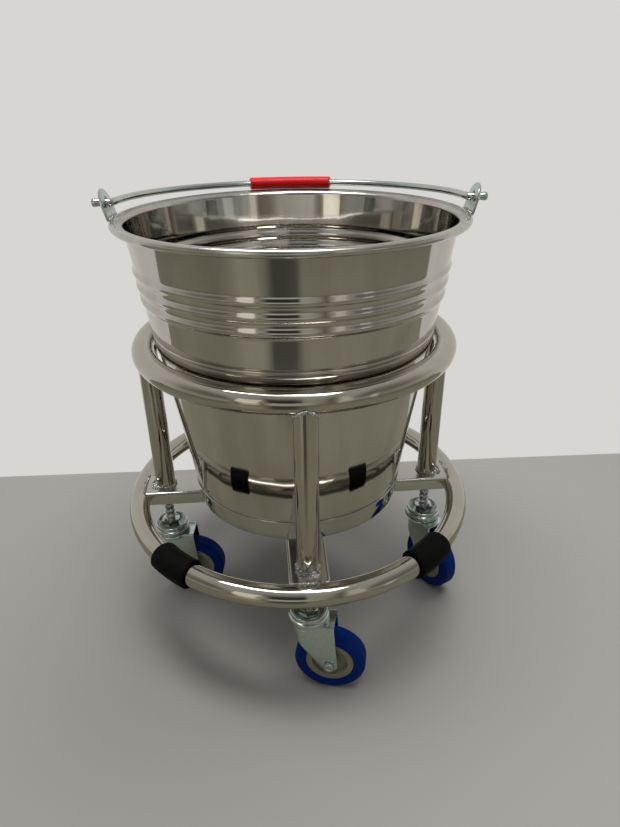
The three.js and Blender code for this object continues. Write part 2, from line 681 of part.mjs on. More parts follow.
function frame() {
  const group = new THREE.Group();
  group.add(piece('top_ring', frameRing(TOP_RING_R, TOP_RING_Z, -Math.PI / 2, -1), STEEL));
  group.add(piece('bottom_ring', frameRing(BOTTOM_RING_R, BOTTOM_RING_Z, Math.PI / 2, -1), STEEL));
  for (const [side, angle] of Object.entries(SIDES)) {
    const leg = piece(`leg_${side}`, legGeometry(), STEEL);
    const bar = piece(`bar_${side}`, barGeometry(), SATIN_STEEL);
    group.add(turnedGroup(angle, leg, bar));
  }
  for (const [corner, angle] of Object.entries(CORNERS)) {
    group.add(piece(`bumper_${corner}`, bumperGeometry(angle), BLACK_RUBBER));
  }
  return group;
}

// One caster under a leg. The stem and cup are fixed; the rest follows the heading.
function caster(side) {
  const name = (part) => `caster_${side}_${part}`;
  const group = new THREE.Group();
  group.position.set(LEG_R * Math.cos(rad(SIDES[side])), LEG_R * Math.sin(rad(SIDES[side])), 0);
  group.add(turnedGroup(
    HEADING[side],
    piece(name('stem'), stemGeometry(), ZINC),
    piece(name('cup'), cupGeometry(), ZINC),
    piece(name('ball_ring'), ballRingGeometry(), DARK_ZINC),
    piece(name('fork'), forkGeometry(), ZINC),
    piece(name('axle'), axleGeometry(), ZINC),
    piece(name('axle_nut'), axleNutGeometry(), ZINC),
    piece(name('bush'), bushGeometry(), DARK_ZINC),
    piece(name('hub'), hubGeometry(), CREAM_HUB),
    piece(name('tyre'), tyreGeometry(), BLUE_TYRE),
  ));
  return group;
}

function pail() {
  const group = new THREE.Group();
  group.rotation.z = rad(PAIL_TURN);
  const body = piece('pail_body', pailBodyGeometry(), STEEL);
  const foot = piece('pail_foot', pailFootGeometry(), STEEL);
  body.position.z = PAIL_Z;
  foot.position.z = PAIL_Z;
  group.add(body, foot);
  group.add(turnedGroup(0, piece('ear_right', earGeometry(), ZINC)));
  group.add(turnedGroup(180, piece('ear_left', earGeometry(), ZINC)));
  const bail = new THREE.Group();
  bail.position.z = PIVOT_Z;
  bail.rotation.x = -bailRestAngle();
  bail.add(piece('bail_wire', bailWireGeometry(), ZINC));
  bail.add(piece('bail_grip', bailGripGeometry(), RED_GRIP));
  group.add(bail);
  return group;
}

const kickBucket = new THREE.Group();
kickBucket.add(frame(), ...Object.keys(SIDES).map(caster), pail());

export default kickBucket;
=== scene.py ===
import math

import bmesh
import bpy
from mathutils import Matrix, Vector


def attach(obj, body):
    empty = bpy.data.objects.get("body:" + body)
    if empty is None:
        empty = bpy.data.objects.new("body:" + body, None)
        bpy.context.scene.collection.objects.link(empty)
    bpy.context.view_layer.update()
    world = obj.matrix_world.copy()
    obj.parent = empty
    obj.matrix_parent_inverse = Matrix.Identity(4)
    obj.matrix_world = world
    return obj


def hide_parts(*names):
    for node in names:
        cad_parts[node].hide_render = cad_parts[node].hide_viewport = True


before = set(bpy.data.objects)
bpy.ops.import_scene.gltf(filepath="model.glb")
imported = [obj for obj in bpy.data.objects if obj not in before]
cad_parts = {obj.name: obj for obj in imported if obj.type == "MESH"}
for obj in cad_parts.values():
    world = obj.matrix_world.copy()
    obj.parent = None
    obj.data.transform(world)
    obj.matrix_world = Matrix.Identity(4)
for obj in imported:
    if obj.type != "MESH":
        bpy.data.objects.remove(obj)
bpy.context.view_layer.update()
scene = bpy.context.scene


# Bottom ring: round stainless steel tube bent to a full circle and polished bright.
# The four bars are welded to its inner side and the bumpers clip over it.
MM = 0.001
TUBE_R = 9.5
BOTTOM_RING_R = 158.3
BOTTOM_RING_Z = 125.7
RING_SIDES = 256
TUBE_SIDES = 36
LATHE_R = 0.1
CREASE = 32.0
STEEL_PALE = (0.56, 0.535, 0.475, 1.0)
STEEL_DEEP = (0.43, 0.405, 0.345, 1.0)


class Wire:
    """One output of a node. Arithmetic on it adds the Math nodes that it stands for."""

    def __init__(self, bench, socket):
        self.bench = bench
        self.socket = socket

    def part(self, name):
        return Wire(self.bench, self.socket.node.outputs[name])

    def maths(self, operation, first, second):
        return self.bench.node("ShaderNodeMath", {"operation": operation}, {0: first, 1: second})

    def __add__(self, other):
        return self.maths("ADD", self, other)

    __radd__ = __add__

    def __sub__(self, other):
        return self.maths("SUBTRACT", self, other)

    def __rsub__(self, other):
        return self.maths("SUBTRACT", other, self)

    def __mul__(self, other):
        return self.maths("MULTIPLY", self, other)

    __rmul__ = __mul__

    def __truediv__(self, other):
        return self.maths("DIVIDE", self, other)

    def __rtruediv__(self, other):
        return self.maths("DIVIDE", other, self)

    def __pow__(self, other):
        return self.maths("POWER", self, other)


class Bench:
    """A node tree, and the one method that puts a node on it."""

    def __init__(self, tree):
        self.tree = tree

    def node(self, kind, settings=None, sockets=None, out=0):
        made = self.tree.nodes.new(kind)
        for name, value in (settings or {}).items():
            if name == "stops":
                elements = made.color_ramp.elements
                elements[0].position = value[0][0]
                elements[1].position = value[-1][0]
                for place, _ in value[1:-1]:
                    elements.new(place)
                for stop, (_, colour) in zip(elements, value):
                    stop.color = (*colour, 1.0)
            else:
                setattr(made, name, value)
        for name, value in (sockets or {}).items():
            if isinstance(value, Wire):
                self.tree.links.new(value.socket, made.inputs[name])
            else:
                made.inputs[name].default_value = value
        return Wire(self, made.outputs[out]) if len(made.outputs) else None


def shape_tree(name, inputs):
    """A geometry tree with named inputs: its bench, and a wire from each input."""
    tree = bpy.data.node_groups.new(name, "GeometryNodeTree")
    tree.interface.new_socket("Shape", in_out="OUTPUT", socket_type="NodeSocketGeometry")
    for label, kind in inputs.items():
        tree.interface.new_socket(label, in_out="INPUT", socket_type="NodeSocket" + kind)
    bench = Bench(tree)
    source = bench.node("NodeGroupInput")
    return bench, {label: source.part(label) for label in inputs}


def closing(bench, shape, material):
    """The last nodes of every tree: real geometry, smooth, with its material."""
    solid = bench.node("GeometryNodeRealizeInstances", None, {0: shape})
    smooth = bench.node("GeometryNodeSetShadeSmooth", None, {0: solid})
    coated = bench.node("GeometryNodeSetMaterial", None, {0: smooth, "Material": material})
    bench.node("NodeGroupOutput", None, {0: coated})
    return bench.tree


def lathe():
    """Turns an outline of (radius, 0, height) points about Z."""
    bench, given = shape_tree("lathe", {"Outline": "Geometry", "Sides": "Int", "Finish": "Material"})
    spot = bench.node("GeometryNodeInputPosition")
    apart = bench.node("ShaderNodeSeparateXYZ", None, {0: spot})
    across = apart.part("X") - LATHE_R
    down = apart.part("Z") * -1.0
    laid = bench.node("ShaderNodeCombineXYZ", None, {"X": across, "Y": down})
    line = bench.node("GeometryNodeMeshToCurve", None, {0: given["Outline"]})
    flat = bench.node("GeometryNodeSetPosition", None, {0: line, "Position": laid})
    turn = bench.node(
        "GeometryNodeCurvePrimitiveCircle",
        {"mode": "RADIUS"},
        {"Resolution": given["Sides"], "Radius": LATHE_R},
    )
    skin = bench.node("GeometryNodeCurveToMesh", None, {"Curve": turn, "Profile Curve": flat})
    merged = bench.node("GeometryNodeMergeByDistance", None, {0: skin, "Distance": 1e-6})
    return closing(bench, merged, given["Finish"])


def outward(mesh):
    """Merges doubles and points every face out."""
    work = bmesh.new()
    work.from_mesh(mesh)
    bmesh.ops.remove_doubles(work, verts=work.verts, dist=1e-7)
    bmesh.ops.recalc_face_normals(work, faces=work.faces)
    work.to_mesh(mesh)
    work.free()
    return mesh


def settled(thing):
    """The mesh that an object's modifiers give, with the object cleared away."""
    scene.collection.objects.link(thing)
    graph = bpy.context.evaluated_depsgraph_get()
    mesh = bpy.data.meshes.new_from_object(thing.evaluated_get(graph))
    thing.modifiers.clear()
    bpy.data.objects.remove(thing)
    return mesh


def grown(tree, sizes, start):
    """The plain mesh that a geometry tree makes of a starting mesh and its sizes."""
    thing = bpy.data.objects.new(tree.name, start)
    step = thing.modifiers.new(tree.name, "NODES")
    step.node_group = tree
    for item in tree.interface.items_tree:
        if item.in_out == "INPUT" and item.name in sizes:
            step[item.identifier] = sizes[item.name]
    return outward(settled(thing))


def outline(points, looped=True):
    """A line of edges through (radius, height) points in millimetres."""
    mesh = bpy.data.meshes.new("outline")
    count = len(points)
    edges = [(i, (i + 1) % count) for i in range(count if looped else count - 1)]
    mesh.from_pydata([(r * MM, 0.0, z * MM) for r, z in points], edges, [])
    return mesh


LATHE = lathe()


def turned(points, finish, sides, looped=True):
    """A turned shape. An outline that isn't looped starts and ends on the axis."""
    sizes = {"Sides": sides, "Finish": finish}
    return grown(LATHE, sizes, outline(points, looped))


def arc(centre, radius, start, end, steps):
    """Points on a circle's arc, in degrees."""
    turns = [math.radians(start + (end - start) * k / steps) for k in range(steps + 1)]
    return [(centre[0] + radius * math.cos(t), centre[1] + radius * math.sin(t)) for t in turns]


def blank(name):
    """A new material: itself, its bench and the object coordinates."""
    material = bpy.data.materials.new(name)
    material.use_nodes = True
    material.node_tree.nodes.clear()
    bench = Bench(material.node_tree)
    return material, bench, bench.node("ShaderNodeTexCoord", out="Object")


def noise(bench, place, scale, detail, stretch=None):
    if stretch:
        place = bench.node("ShaderNodeVectorMath", {"operation": "MULTIPLY"}, {0: place, 1: stretch})
    return bench.node("ShaderNodeTexNoise", None, {"Vector": place, "Scale": scale, "Detail": detail})


def between(bench, factor, first, second):
    """A colour between two."""
    return bench.node("ShaderNodeMix", {"data_type": "RGBA"}, {0: factor, 6: first, 7: second}, out=2)


def above(bench, value, edge, softness):
    """0 below the edge and 1 above it, soft over the given width."""
    return bench.node(
        "ShaderNodeMapRange",
        {"interpolation_type": "SMOOTHSTEP"},
        {"Value": value, "From Min": edge - softness, "From Max": edge + softness},
    )


def bump(bench, height, distance):
    sockets = {"Strength": 1.0, "Distance": distance, "Height": height}
    return bench.node("ShaderNodeBump", None, sockets)


def shade(bench, sockets):
    shader = bench.node("ShaderNodeBsdfPrincipled", None, sockets)
    bench.node("ShaderNodeOutputMaterial", None, {"Surface": shader})


def tube_steel():
    """Polished stainless tube: cloudy buffing, faint handling marks and a slightly wavy skin."""
    material, bench, place = blank("tube_steel")
    cloud = noise(bench, place, scale=26.0, detail=3.0)
    smear = noise(bench, place, scale=140.0, detail=2.0, stretch=(1.0, 1.0, 0.25))
    tone = between(bench, cloud, STEEL_DEEP, STEEL_PALE)
    rough = 0.03 + cloud * 0.045 + smear * 0.03
    wave = noise(bench, place, scale=38.0, detail=1.0)
    normal = bump(bench, wave, distance=0.0006)
    shade(bench, {"Base Color": tone, "Metallic": 1.0, "Roughness": rough, "Normal": normal})
    return material


def placed(name, mesh, *moves):
    """A piece at the origin with its place in its mesh."""
    own = mesh.copy()
    for move in moves:
        own.transform(move)
    own.name = name
    thing = bpy.data.objects.new(name, own)
    scene.collection.objects.link(thing)
    return thing


def dressed(thing, finish, body, nodes=(), crease=CREASE):
    """Gives a piece its material, its smooth and sharp edges, and its place in the frame."""
    mesh = thing.data
    mesh.materials.clear()
    mesh.materials.append(finish)
    mesh.shade_smooth()
    mesh.set_sharp_from_angle(angle=math.radians(crease))
    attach(thing, body)
    if nodes:
        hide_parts(*nodes)
    return thing


def raised(z):
    return Matrix.Translation((0.0, 0.0, z * MM))


def spun(degrees):
    return Matrix.Rotation(math.radians(degrees), 4, "Z")


def tube_ring(name, radius, height, node):
    """The tube bent to a full circle, lying level."""
    round_tube = arc((radius, 0.0), TUBE_R, 0.0, 360.0, TUBE_SIDES)[:-1]
    ring = placed(name, turned(round_tube, TUBE_STEEL, RING_SIDES), raised(height))
    dressed(ring, TUBE_STEEL, "frame", [node])


TUBE_STEEL = tube_steel()
tube_ring("bottom_tube_ring", BOTTOM_RING_R, BOTTOM_RING_Z, "bottom_ring")


# Bars: channels folded from stainless sheet, open below, with a soft rolled finish.
# Each is coped to the bottom ring, welded there, and carries a leg and the pail's foot.
SIDES = {"front": -90.0, "right": 0.0, "rear": 90.0, "left": 180.0}
BAR_HALF = 17.0
BAR_LOW_Z = 120.2
BAR_TOP_Z = 133.7
BAR_SHEET = 2.0
BAR_INNER_R = 72.6
BAR_FOLD_R = 3.0
BAR_EDGE_R = 0.5
BAR_TO_RING = 0.1
CORNER_SHARE = 0.48
SATIN_PALE = (0.60, 0.585, 0.555, 1.0)
SATIN_DEEP = (0.50, 0.485, 0.455, 1.0)


def rounded(points, radii, looped=True, steps=5):
    """The outline with each corner turned into a curve that starts its radius' reach before it."""
    made = []
    count = len(points)
    for i, point in enumerate(points):
        here = Vector(point)
        if not looped and i in (0, count - 1):
            made.append(tuple(here))
            continue
        before = Vector(points[i - 1]) - here
        after = Vector(points[(i + 1) % count]) - here
        radius = radii[i] if isinstance(radii, (list, tuple)) else radii
        reach = radius / math.tan(before.angle(after) / 2)
        start = here + before.normalized() * min(reach, before.length * CORNER_SHARE)
        end = here + after.normalized() * min(reach, after.length * CORNER_SHARE)
        for k in range(steps + 1):
            t = k / steps
            made.append(tuple(start * (1 - t) ** 2 + here * (2 * t * (1 - t)) + end * t ** 2))
    return made


def skin(points, faces):
    """A mesh from points in millimetres."""
    mesh = bpy.data.meshes.new("skin")
    mesh.from_pydata([Vector(point) * MM for point in points], [], faces)
    return outward(mesh)


def lofted(rings, looped=False, capped=False):
    """Faces between like rings of points. Looped joins the last ring to the first."""
    count = len(rings[0])
    points = [point for ring in rings for point in ring]
    faces = []
    for i in range(len(rings) if looped else len(rings) - 1):
        low = i * count
        high = (i + 1) % len(rings) * count
        for k in range(count):
            m = (k + 1) % count
            faces.append((low + k, low + m, high + m, high + k))
    if capped:
        faces.append(tuple(range(count)))
        faces.append(tuple(range(len(points) - count, len(points))))
    return skin(points, faces)


def ring_face_x(y, z):
    """How far out along a bar the ring's inner face is, at a width and height."""
    rise = z - BOTTOM_RING_Z
    inside = BOTTOM_RING_R - math.sqrt(max((TUBE_R + BAR_TO_RING) ** 2 - rise ** 2, 0.0))
    return math.sqrt(inside ** 2 - y ** 2)


def bar_section():
    inner = BAR_HALF - BAR_SHEET
    under = BAR_TOP_Z - BAR_SHEET
    corners = [
        (-BAR_HALF, BAR_LOW_Z), (-inner, BAR_LOW_Z), (-inner, under), (inner, under),
        (inner, BAR_LOW_Z), (BAR_HALF, BAR_LOW_Z), (BAR_HALF, BAR_TOP_Z), (-BAR_HALF, BAR_TOP_Z),
    ]
    inside_fold = BAR_FOLD_R - BAR_SHEET
    edges = [BAR_EDGE_R] * 2
    return rounded(corners, edges + [inside_fold] * 2 + edges + [BAR_FOLD_R] * 2)


def satin_steel():
    """Rolled stainless sheet: cloudy, softly smeared, dull next to the polished tube."""
    material, bench, place = blank("satin_steel")
    cloud = noise(bench, place, scale=34.0, detail=3.0)
    smear = noise(bench, place, scale=120.0, detail=3.0)
    tone = between(bench, cloud, SATIN_DEEP, SATIN_PALE)
    rough = 0.10 + cloud * 0.10 + smear * 0.06
    normal = bump(bench, cloud, distance=0.0002)
    shade(bench, {"Base Color": tone, "Metallic": 1.0, "Roughness": rough, "Normal": normal})
    return material


def round_about(places, name, shape, finish, body, node=None, crease=CREASE):
    """A copy of a shape at each named place, turned about Z to its angle, for that place's node."""
    for spot, angle in places.items():
        piece = placed(f"{name}_{spot}", shape, spun(angle))
        dressed(piece, finish, body, [f"{node}_{spot}"] if node else (), crease)


SATIN_STEEL = satin_steel()
section = bar_section()
bar_shape = lofted(
    [
        [(BAR_INNER_R, y, z) for y, z in section],
        [(ring_face_x(y, z), y, z) for y, z in section],
    ],
    capped=True,
)
round_about(SIDES, "folded_bar", bar_shape, SATIN_STEEL, "frame", "bar")


# Legs: the same polished tube, cut square below and saddled under the top ring.
# Each stands on its bar over the caster's stem and is welded at both ends.
LEG_R = 133.3
LEG_LOW_Z = 134.0
TOP_RING_R = 133.3
TOP_RING_Z = 286.0
TUBE_BORE_R = 8.0
SADDLE_BLUNT = 0.16
LEG_SIDES = 48


def leg_ring(radius, height):
    """A ring of a leg's tube: height gives z from the direction, 0 pointing away from the pail."""
    ring = []
    for k in range(LEG_SIDES):
        turn = 2 * math.pi * k / LEG_SIDES
        ring.append((LEG_R + radius * math.cos(turn), radius * math.sin(turn), height(turn)))
    return ring


def saddle(turn):
    """Height of the leg's top edge under the top ring, its peaks rounded off by the file."""
    return TOP_RING_Z - TUBE_R * math.sqrt(math.sin(turn) ** 2 + SADDLE_BLUNT)


def leg_foot(turn):
    return LEG_LOW_Z


leg_shape = lofted(
    [
        leg_ring(TUBE_R, leg_foot),
        leg_ring(TUBE_R, saddle),
        leg_ring(TUBE_BORE_R, saddle),
        leg_ring(TUBE_BORE_R, leg_foot),
    ],
    looped=True,
)
round_about(SIDES, "tube_leg", leg_shape, TUBE_STEEL, "frame", "leg")


# Top ring: the same tube bent round the pail just below its shoulder.
# It lies on the four saddled leg ends.
tube_ring("top_tube_ring", TOP_RING_R, TOP_RING_Z, "top_ring")


# Welds: overlapping ripples of stainless filler, laid by hand round each leg's ends
# and along each bar's end, left bright and a little lumpy.
WELD_PITCH = 1.3
SADDLE_WELD_R = 1.9
FOOT_WELD_R = 1.6
BAR_WELD_R = 1.5
WELD_FLAT = 0.6
WELD_UNEVEN = (0.7, 1.22)
WELD_SEED = 7
WELD_CREASE = 60.0
FOOT_WELD_UP = 0.4
BAR_WELD_DOWN = 0.2
BAR_WELD_SPAN = 0.94
BAR_WELD_STEPS = 16
POOL_WELD_R = 1.35
POOL_ROWS = {1.9: 60.0, 3.8: 40.0}
POOL_STEPS = 16
SPATTER_TURN = 0.2
SPATTER = [(0.8, 1.4, 34.0), (1.1, -0.9, 22.0), (0.7, 2.6, 14.0), (0.6, -2.2, 30.0)]
WELD_PALE = (0.58, 0.57, 0.55, 1.0)
WELD_TINT = (0.27, 0.265, 0.25, 1.0)


def welder():
    """Ripples along a path, each as wide as the path's 'bead' attribute says."""
    bench, given = shape_tree(
        "weld_bead",
        {"Path": "Geometry", "Pitch": "Float", "Flatness": "Float", "Seed": "Int", "Finish": "Material"},
    )
    line = bench.node("GeometryNodeMeshToCurve", None, {0: given["Path"]})
    spots = bench.node(
        "GeometryNodeCurveToPoints", {"mode": "LENGTH"}, {0: line, "Length": given["Pitch"]}
    )
    drop = bench.node("GeometryNodeMeshUVSphere", None, {"Segments": 8, "Rings": 6, "Radius": 1.0})
    width = bench.node("GeometryNodeInputNamedAttribute", {"data_type": "FLOAT"}, {"Name": "bead"})
    uneven = bench.node(
        "FunctionNodeRandomValue",
        {"data_type": "FLOAT"},
        {2: WELD_UNEVEN[0], 3: WELD_UNEVEN[1], "Seed": given["Seed"]},
        out=1,
    )
    size = width * uneven
    thin = size * given["Flatness"]
    scale = bench.node("ShaderNodeCombineXYZ", None, {"X": size, "Y": size, "Z": thin})
    rows = bench.node(
        "GeometryNodeInstanceOnPoints",
        None,
        {"Points": spots, "Instance": drop, "Rotation": spots.part("Rotation"), "Scale": scale},
    )
    return closing(bench, rows, given["Finish"])


def weld_paths(paths):
    """One mesh of several lines, each given as its bead radius and its points."""
    mesh = bpy.data.meshes.new("weld_paths")
    points = []
    edges = []
    beads = []
    for bead, path in paths:
        edges += [(len(points) + k, len(points) + k + 1) for k in range(len(path) - 1)]
        points += [Vector(point) * MM for point in path]
        beads += [bead * MM] * len(path)
    mesh.from_pydata(points, edges, [])
    mesh.attributes.new("bead", "FLOAT", "POINT").data.foreach_set("value", beads)
    return mesh


def evenly(half, steps):
    """Even steps from -half to half."""
    return [half * (2.0 * k / steps - 1.0) for k in range(steps + 1)]


def weld_steel():
    """Filler metal: bright, heat-tinted in random patches, with a fine crust."""
    material, bench, place = blank("weld_steel")
    crust = noise(bench, place, scale=420.0, detail=3.0)
    heat = noise(bench, place, scale=90.0, detail=2.0)
    tone = between(bench, above(bench, heat, edge=0.48, softness=0.12), WELD_PALE, WELD_TINT)
    rough = 0.14 + crust * 0.22
    normal = bump(bench, crust, distance=0.0004)
    shade(bench, {"Base Color": tone, "Metallic": 1.0, "Roughness": rough, "Normal": normal})
    return material


WELD_STEEL = weld_steel()
WELDER = welder()
turns = [2 * math.pi * k / LEG_SIDES for k in range(LEG_SIDES + 1)]
leg_line = [(LEG_R + TUBE_R * math.cos(t), TUBE_R * math.sin(t), t) for t in turns]
saddle_path = [(x, y, saddle(t)) for x, y, t in leg_line]
foot_path = [(x, y, LEG_LOW_Z + FOOT_WELD_UP) for x, y, _ in leg_line]
across = evenly(BAR_HALF * BAR_WELD_SPAN, BAR_WELD_STEPS)
end_path = [(ring_face_x(y, BAR_TOP_Z), y, BAR_TOP_Z - BAR_WELD_DOWN) for y in across]
runs = [(SADDLE_WELD_R, saddle_path), (FOOT_WELD_R, foot_path), (BAR_WELD_R, end_path)]
for reach, half in POOL_ROWS.items():
    row = arc((LEG_R, 0.0), TUBE_R + reach, -half, half, POOL_STEPS)
    runs.append((POOL_WELD_R, [(x, y, BAR_TOP_Z) for x, y in row]))
for drop_r, turn, lean in SPATTER:
    out = BOTTOM_RING_R - TUBE_R * math.sin(math.radians(lean))
    up = BOTTOM_RING_Z + TUBE_R * math.cos(math.radians(lean))
    ends = [math.radians(turn), math.radians(turn + SPATTER_TURN)]
    runs.append((drop_r, [(out * math.cos(t), out * math.sin(t), up) for t in ends]))
weld_start = weld_paths(runs)
weld_sizes = {"Pitch": WELD_PITCH * MM, "Flatness": WELD_FLAT, "Seed": WELD_SEED, "Finish": WELD_STEEL}
weld_shape = grown(WELDER, weld_sizes, weld_start)
round_about(SIDES, "welds", weld_shape, WELD_STEEL, "frame", crease=WELD_CREASE)


# Bumpers: black rubber sleeves moulded to the ring's curve, split along one side.
# They are sprung over the bottom ring and grip it.
CORNERS = {"front_right": -49.0, "rear_right": 54.0, "rear_left": 126.0, "front_left": -134.5}
BUMPER_R = 12.8
BUMPER_BORE_R = 9.75
BUMPER_LENGTH = 38.0
BUMPER_SLOT = (195.0, 265.0)
BUMPER_EDGE_R = 1.0
BUMPER_EASE = (0.3, 0.45)
BUMPER_SIDES = 44
BUMPER_STATIONS = 18
RUBBER_BLACK = (0.0025, 0.0025, 0.002, 1.0)
RUBBER_WORN = (0.006, 0.0058, 0.0052, 1.0)


def bumper_section(shrink):
    """The split sleeve's section about the tube, set in all round by the shrink."""
    lip = math.degrees(shrink / BUMPER_R)
    first = BUMPER_SLOT[1] - 360.0 + lip
    last = BUMPER_SLOT[0] - lip
    outer = arc((0.0, 0.0), BUMPER_R - shrink, first, last, BUMPER_SIDES)
    inner = arc((0.0, 0.0), BUMPER_BORE_R + shrink, last, first, BUMPER_SIDES)
    return outer + inner


def bumper_rings():
    half = BUMPER_LENGTH / 2
    straight = half - BUMPER_EDGE_R
    ends = [(half, BUMPER_EDGE_R), (half - BUMPER_EASE[0], BUMPER_EASE[1])]
    stations = [(-along, shrink) for along, shrink in ends]
    stations += [(along, 0.0) for along in evenly(straight, BUMPER_STATIONS)]
    stations += ends[::-1]
    rings = []
    for along, shrink in stations:
        turn = along / BOTTOM_RING_R
        ring = []
        for across, up in bumper_section(shrink):
            reach = BOTTOM_RING_R + across
            ring.append((reach * math.cos(turn), reach * math.sin(turn), BOTTOM_RING_Z + up))
        rings.append(ring)
    return rings


def rubber():
    """Moulded black rubber: matt, with faint pores and paler scuffs."""
    material, bench, place = blank("black_rubber")
    pores = noise(bench, place, scale=1600.0, detail=2.0)
    scuff = above(bench, noise(bench, place, scale=95.0, detail=4.0), edge=0.62, softness=0.1)
    tone = between(bench, scuff, RUBBER_BLACK, RUBBER_WORN)
    rough = 0.52 + pores * 0.16 + scuff * 0.12
    normal = bump(bench, pores, distance=0.00012)
    shade(bench, {"Base Color": tone, "Roughness": rough, "Normal": normal, "Specular IOR Level": 0.07})
    return material


RUBBER = rubber()
bumper_shape = lofted(bumper_rings(), capped=True)
round_about(CORNERS, "split_bumper", bumper_shape, RUBBER, "frame", "bumper")


# Caster stems: zinc plated bolts screwed up into the legs, with a hexagon collar
# above the cup and a kingpin riveted over below the fork's top.
HEADING = {"front": -14.0, "right": -63.0, "rear": 28.0, "left": -5.0}
STEM_R = 5.0
STEM_LOW_Z = 80.0
STEM_TOP_Z = 153.7
STEM_EDGE_R = 0.6
STEM_SIDES = 32
THREAD_PITCH = 1.5
THREAD_DEPTH = 0.75
THREAD_LOW_Z = 91.2
THREAD_HIGH_Z = 121.5
THREAD_STEPS = 28
THREAD_CORNERS = 4
COLLAR_FLATS = 17.0
COLLAR_Z = (84.2, 91.2)
PIN_R = 5.0
PIN_HEAD_R = 8.0
PIN_HEAD_Z = (72.2, 75.2)
PIN_TOP_Z = 85.2
PIN_EDGES = [0.0, 1.6, 0.4, 0.3, 0.3, 0.0]
HEX_COLUMNS = 72
HEX_FACE = 0.96
CHAMFER_SLOPE = math.tan(math.radians(30.0))
ZINC_PALE = (0.62, 0.675, 0.665, 1.0)
ZINC_DEEP = (0.47, 0.54, 0.53, 1.0)
ZINC_WARM = (0.57, 0.605, 0.565, 1.0)


def threader():
    """A screw thread's ridge, wound round a core of the given radius."""
    bench, given = shape_tree(
        "screw_thread",
        {
            "Start": "Geometry", "Core radius": "Float", "Ridge": "Float", "Turns": "Float",
            "Length": "Float", "Steps": "Int", "Finish": "Material",
        },
    )
    coil = bench.node(
        "GeometryNodeCurveSpiral",
        None,
        {
            "Resolution": given["Steps"], "Rotations": given["Turns"], "Height": given["Length"],
            "Start Radius": given["Core radius"], "End Radius": given["Core radius"],
        },
    )
    ridge = bench.node(
        "GeometryNodeCurvePrimitiveCircle",
        {"mode": "RADIUS"},
        {"Resolution": THREAD_CORNERS, "Radius": given["Ridge"]},
    )
    wound = bench.node(
        "GeometryNodeCurveToMesh", None, {"Curve": coil, "Profile Curve": ridge, "Fill Caps": True}
    )
    return closing(bench, wound, given["Finish"])


def hexagon(flats, low, high):
    """A hexagon with its corners turned off to a cone above and below."""
    flat = flats / 2
    face_r = flat * HEX_FACE
    rings = [[], [], [], []]
    for k in range(HEX_COLUMNS):
        turn = 2 * math.pi * k / HEX_COLUMNS
        radius = flat / math.cos((turn + math.pi / 6) % (math.pi / 3) - math.pi / 6)
        cut = (radius - face_r) * CHAMFER_SLOPE
        place = (math.cos(turn), math.sin(turn))
        rows = [(face_r, low), (radius, low + cut), (radius, high - cut), (face_r, high)]
        for ring, (r, z) in zip(rings, rows):
            ring.append((r * place[0], r * place[1], z))
    return lofted(rings, capped=True)


def together(*meshes):
    """Several meshes as one."""
    work = bmesh.new()
    for mesh in meshes:
        work.from_mesh(mesh)
    joined = bpy.data.meshes.new("together")
    work.to_mesh(joined)
    work.free()
    return joined


def lifted(mesh, z):
    mesh.transform(raised(z))
    return mesh


def short_line():
    """What a tree that needs no path starts from."""
    return outline([(0.0, 0.0), (1.0, 0.0)], looped=False)


def zinc(name, deep, pale):
    """Bright zinc plate: cool grey with faint warm passivation clouds and dull handling marks."""
    material, bench, place = blank(name)
    cloud = noise(bench, place, scale=70.0, detail=3.0)
    mark = noise(bench, place, scale=260.0, detail=3.0)
    cool = between(bench, cloud, deep, pale)
    tone = between(bench, above(bench, mark, edge=0.6, softness=0.12), cool, ZINC_WARM)
    rough = 0.09 + cloud * 0.11 + mark * 0.06
    normal = bump(bench, mark, distance=0.000015)
    shade(bench, {"Base Color": tone, "Metallic": 1.0, "Roughness": rough, "Normal": normal})
    return material


def caster_place(side, heading):
    """Where a caster's own frame stands: under its leg, turned to its heading."""
    leg = spun(SIDES[side]) @ Vector((LEG_R * MM, 0.0, 0.0))
    return Matrix.Translation(leg) @ spun(heading)


def on_casters(name, shape, finish, body, slot, part, *moves):
    """A copy of a shape on each caster: on the frame, or on the caster's own swivel or wheel."""
    for side, heading in HEADING.items():
        piece = placed(f"{name}_{side}", shape, *moves, caster_place(side, heading))
        own = body if body == "frame" else f"{body}_{side}"
        dressed(piece, finish, own, [f"caster_{side}_{part}"])


ZINC = zinc("zinc_plate", ZINC_DEEP, ZINC_PALE)
core_r = STEM_R - THREAD_DEPTH
stem_core = rounded(
    [(0.0, STEM_LOW_Z), (core_r, STEM_LOW_Z), (core_r, STEM_TOP_Z), (0.0, STEM_TOP_Z)],
    STEM_EDGE_R,
    looped=False,
)
pin_head = rounded(
    [
        (0.0, PIN_HEAD_Z[0]), (PIN_HEAD_R, PIN_HEAD_Z[0]), (PIN_HEAD_R, PIN_HEAD_Z[1]),
        (PIN_R, PIN_HEAD_Z[1]), (PIN_R, PIN_TOP_Z), (0.0, PIN_TOP_Z),
    ],
    PIN_EDGES,
    looped=False,
)
thread_sizes = {
    "Core radius": core_r * MM,
    "Ridge": THREAD_DEPTH * MM,
    "Turns": (THREAD_HIGH_Z - THREAD_LOW_Z) / THREAD_PITCH,
    "Length": (THREAD_HIGH_Z - THREAD_LOW_Z) * MM,
    "Steps": THREAD_STEPS,
    "Finish": ZINC,
}
stem_shape = together(
    turned(stem_core, ZINC, STEM_SIDES, looped=False),
    turned(pin_head, ZINC, STEM_SIDES, looped=False),
    hexagon(COLLAR_FLATS, *COLLAR_Z),
    lifted(grown(threader(), thread_sizes, short_line()), THREAD_LOW_Z),
)
on_casters("threaded_stem", stem_shape, ZINC, "frame", "zinc", "stem")


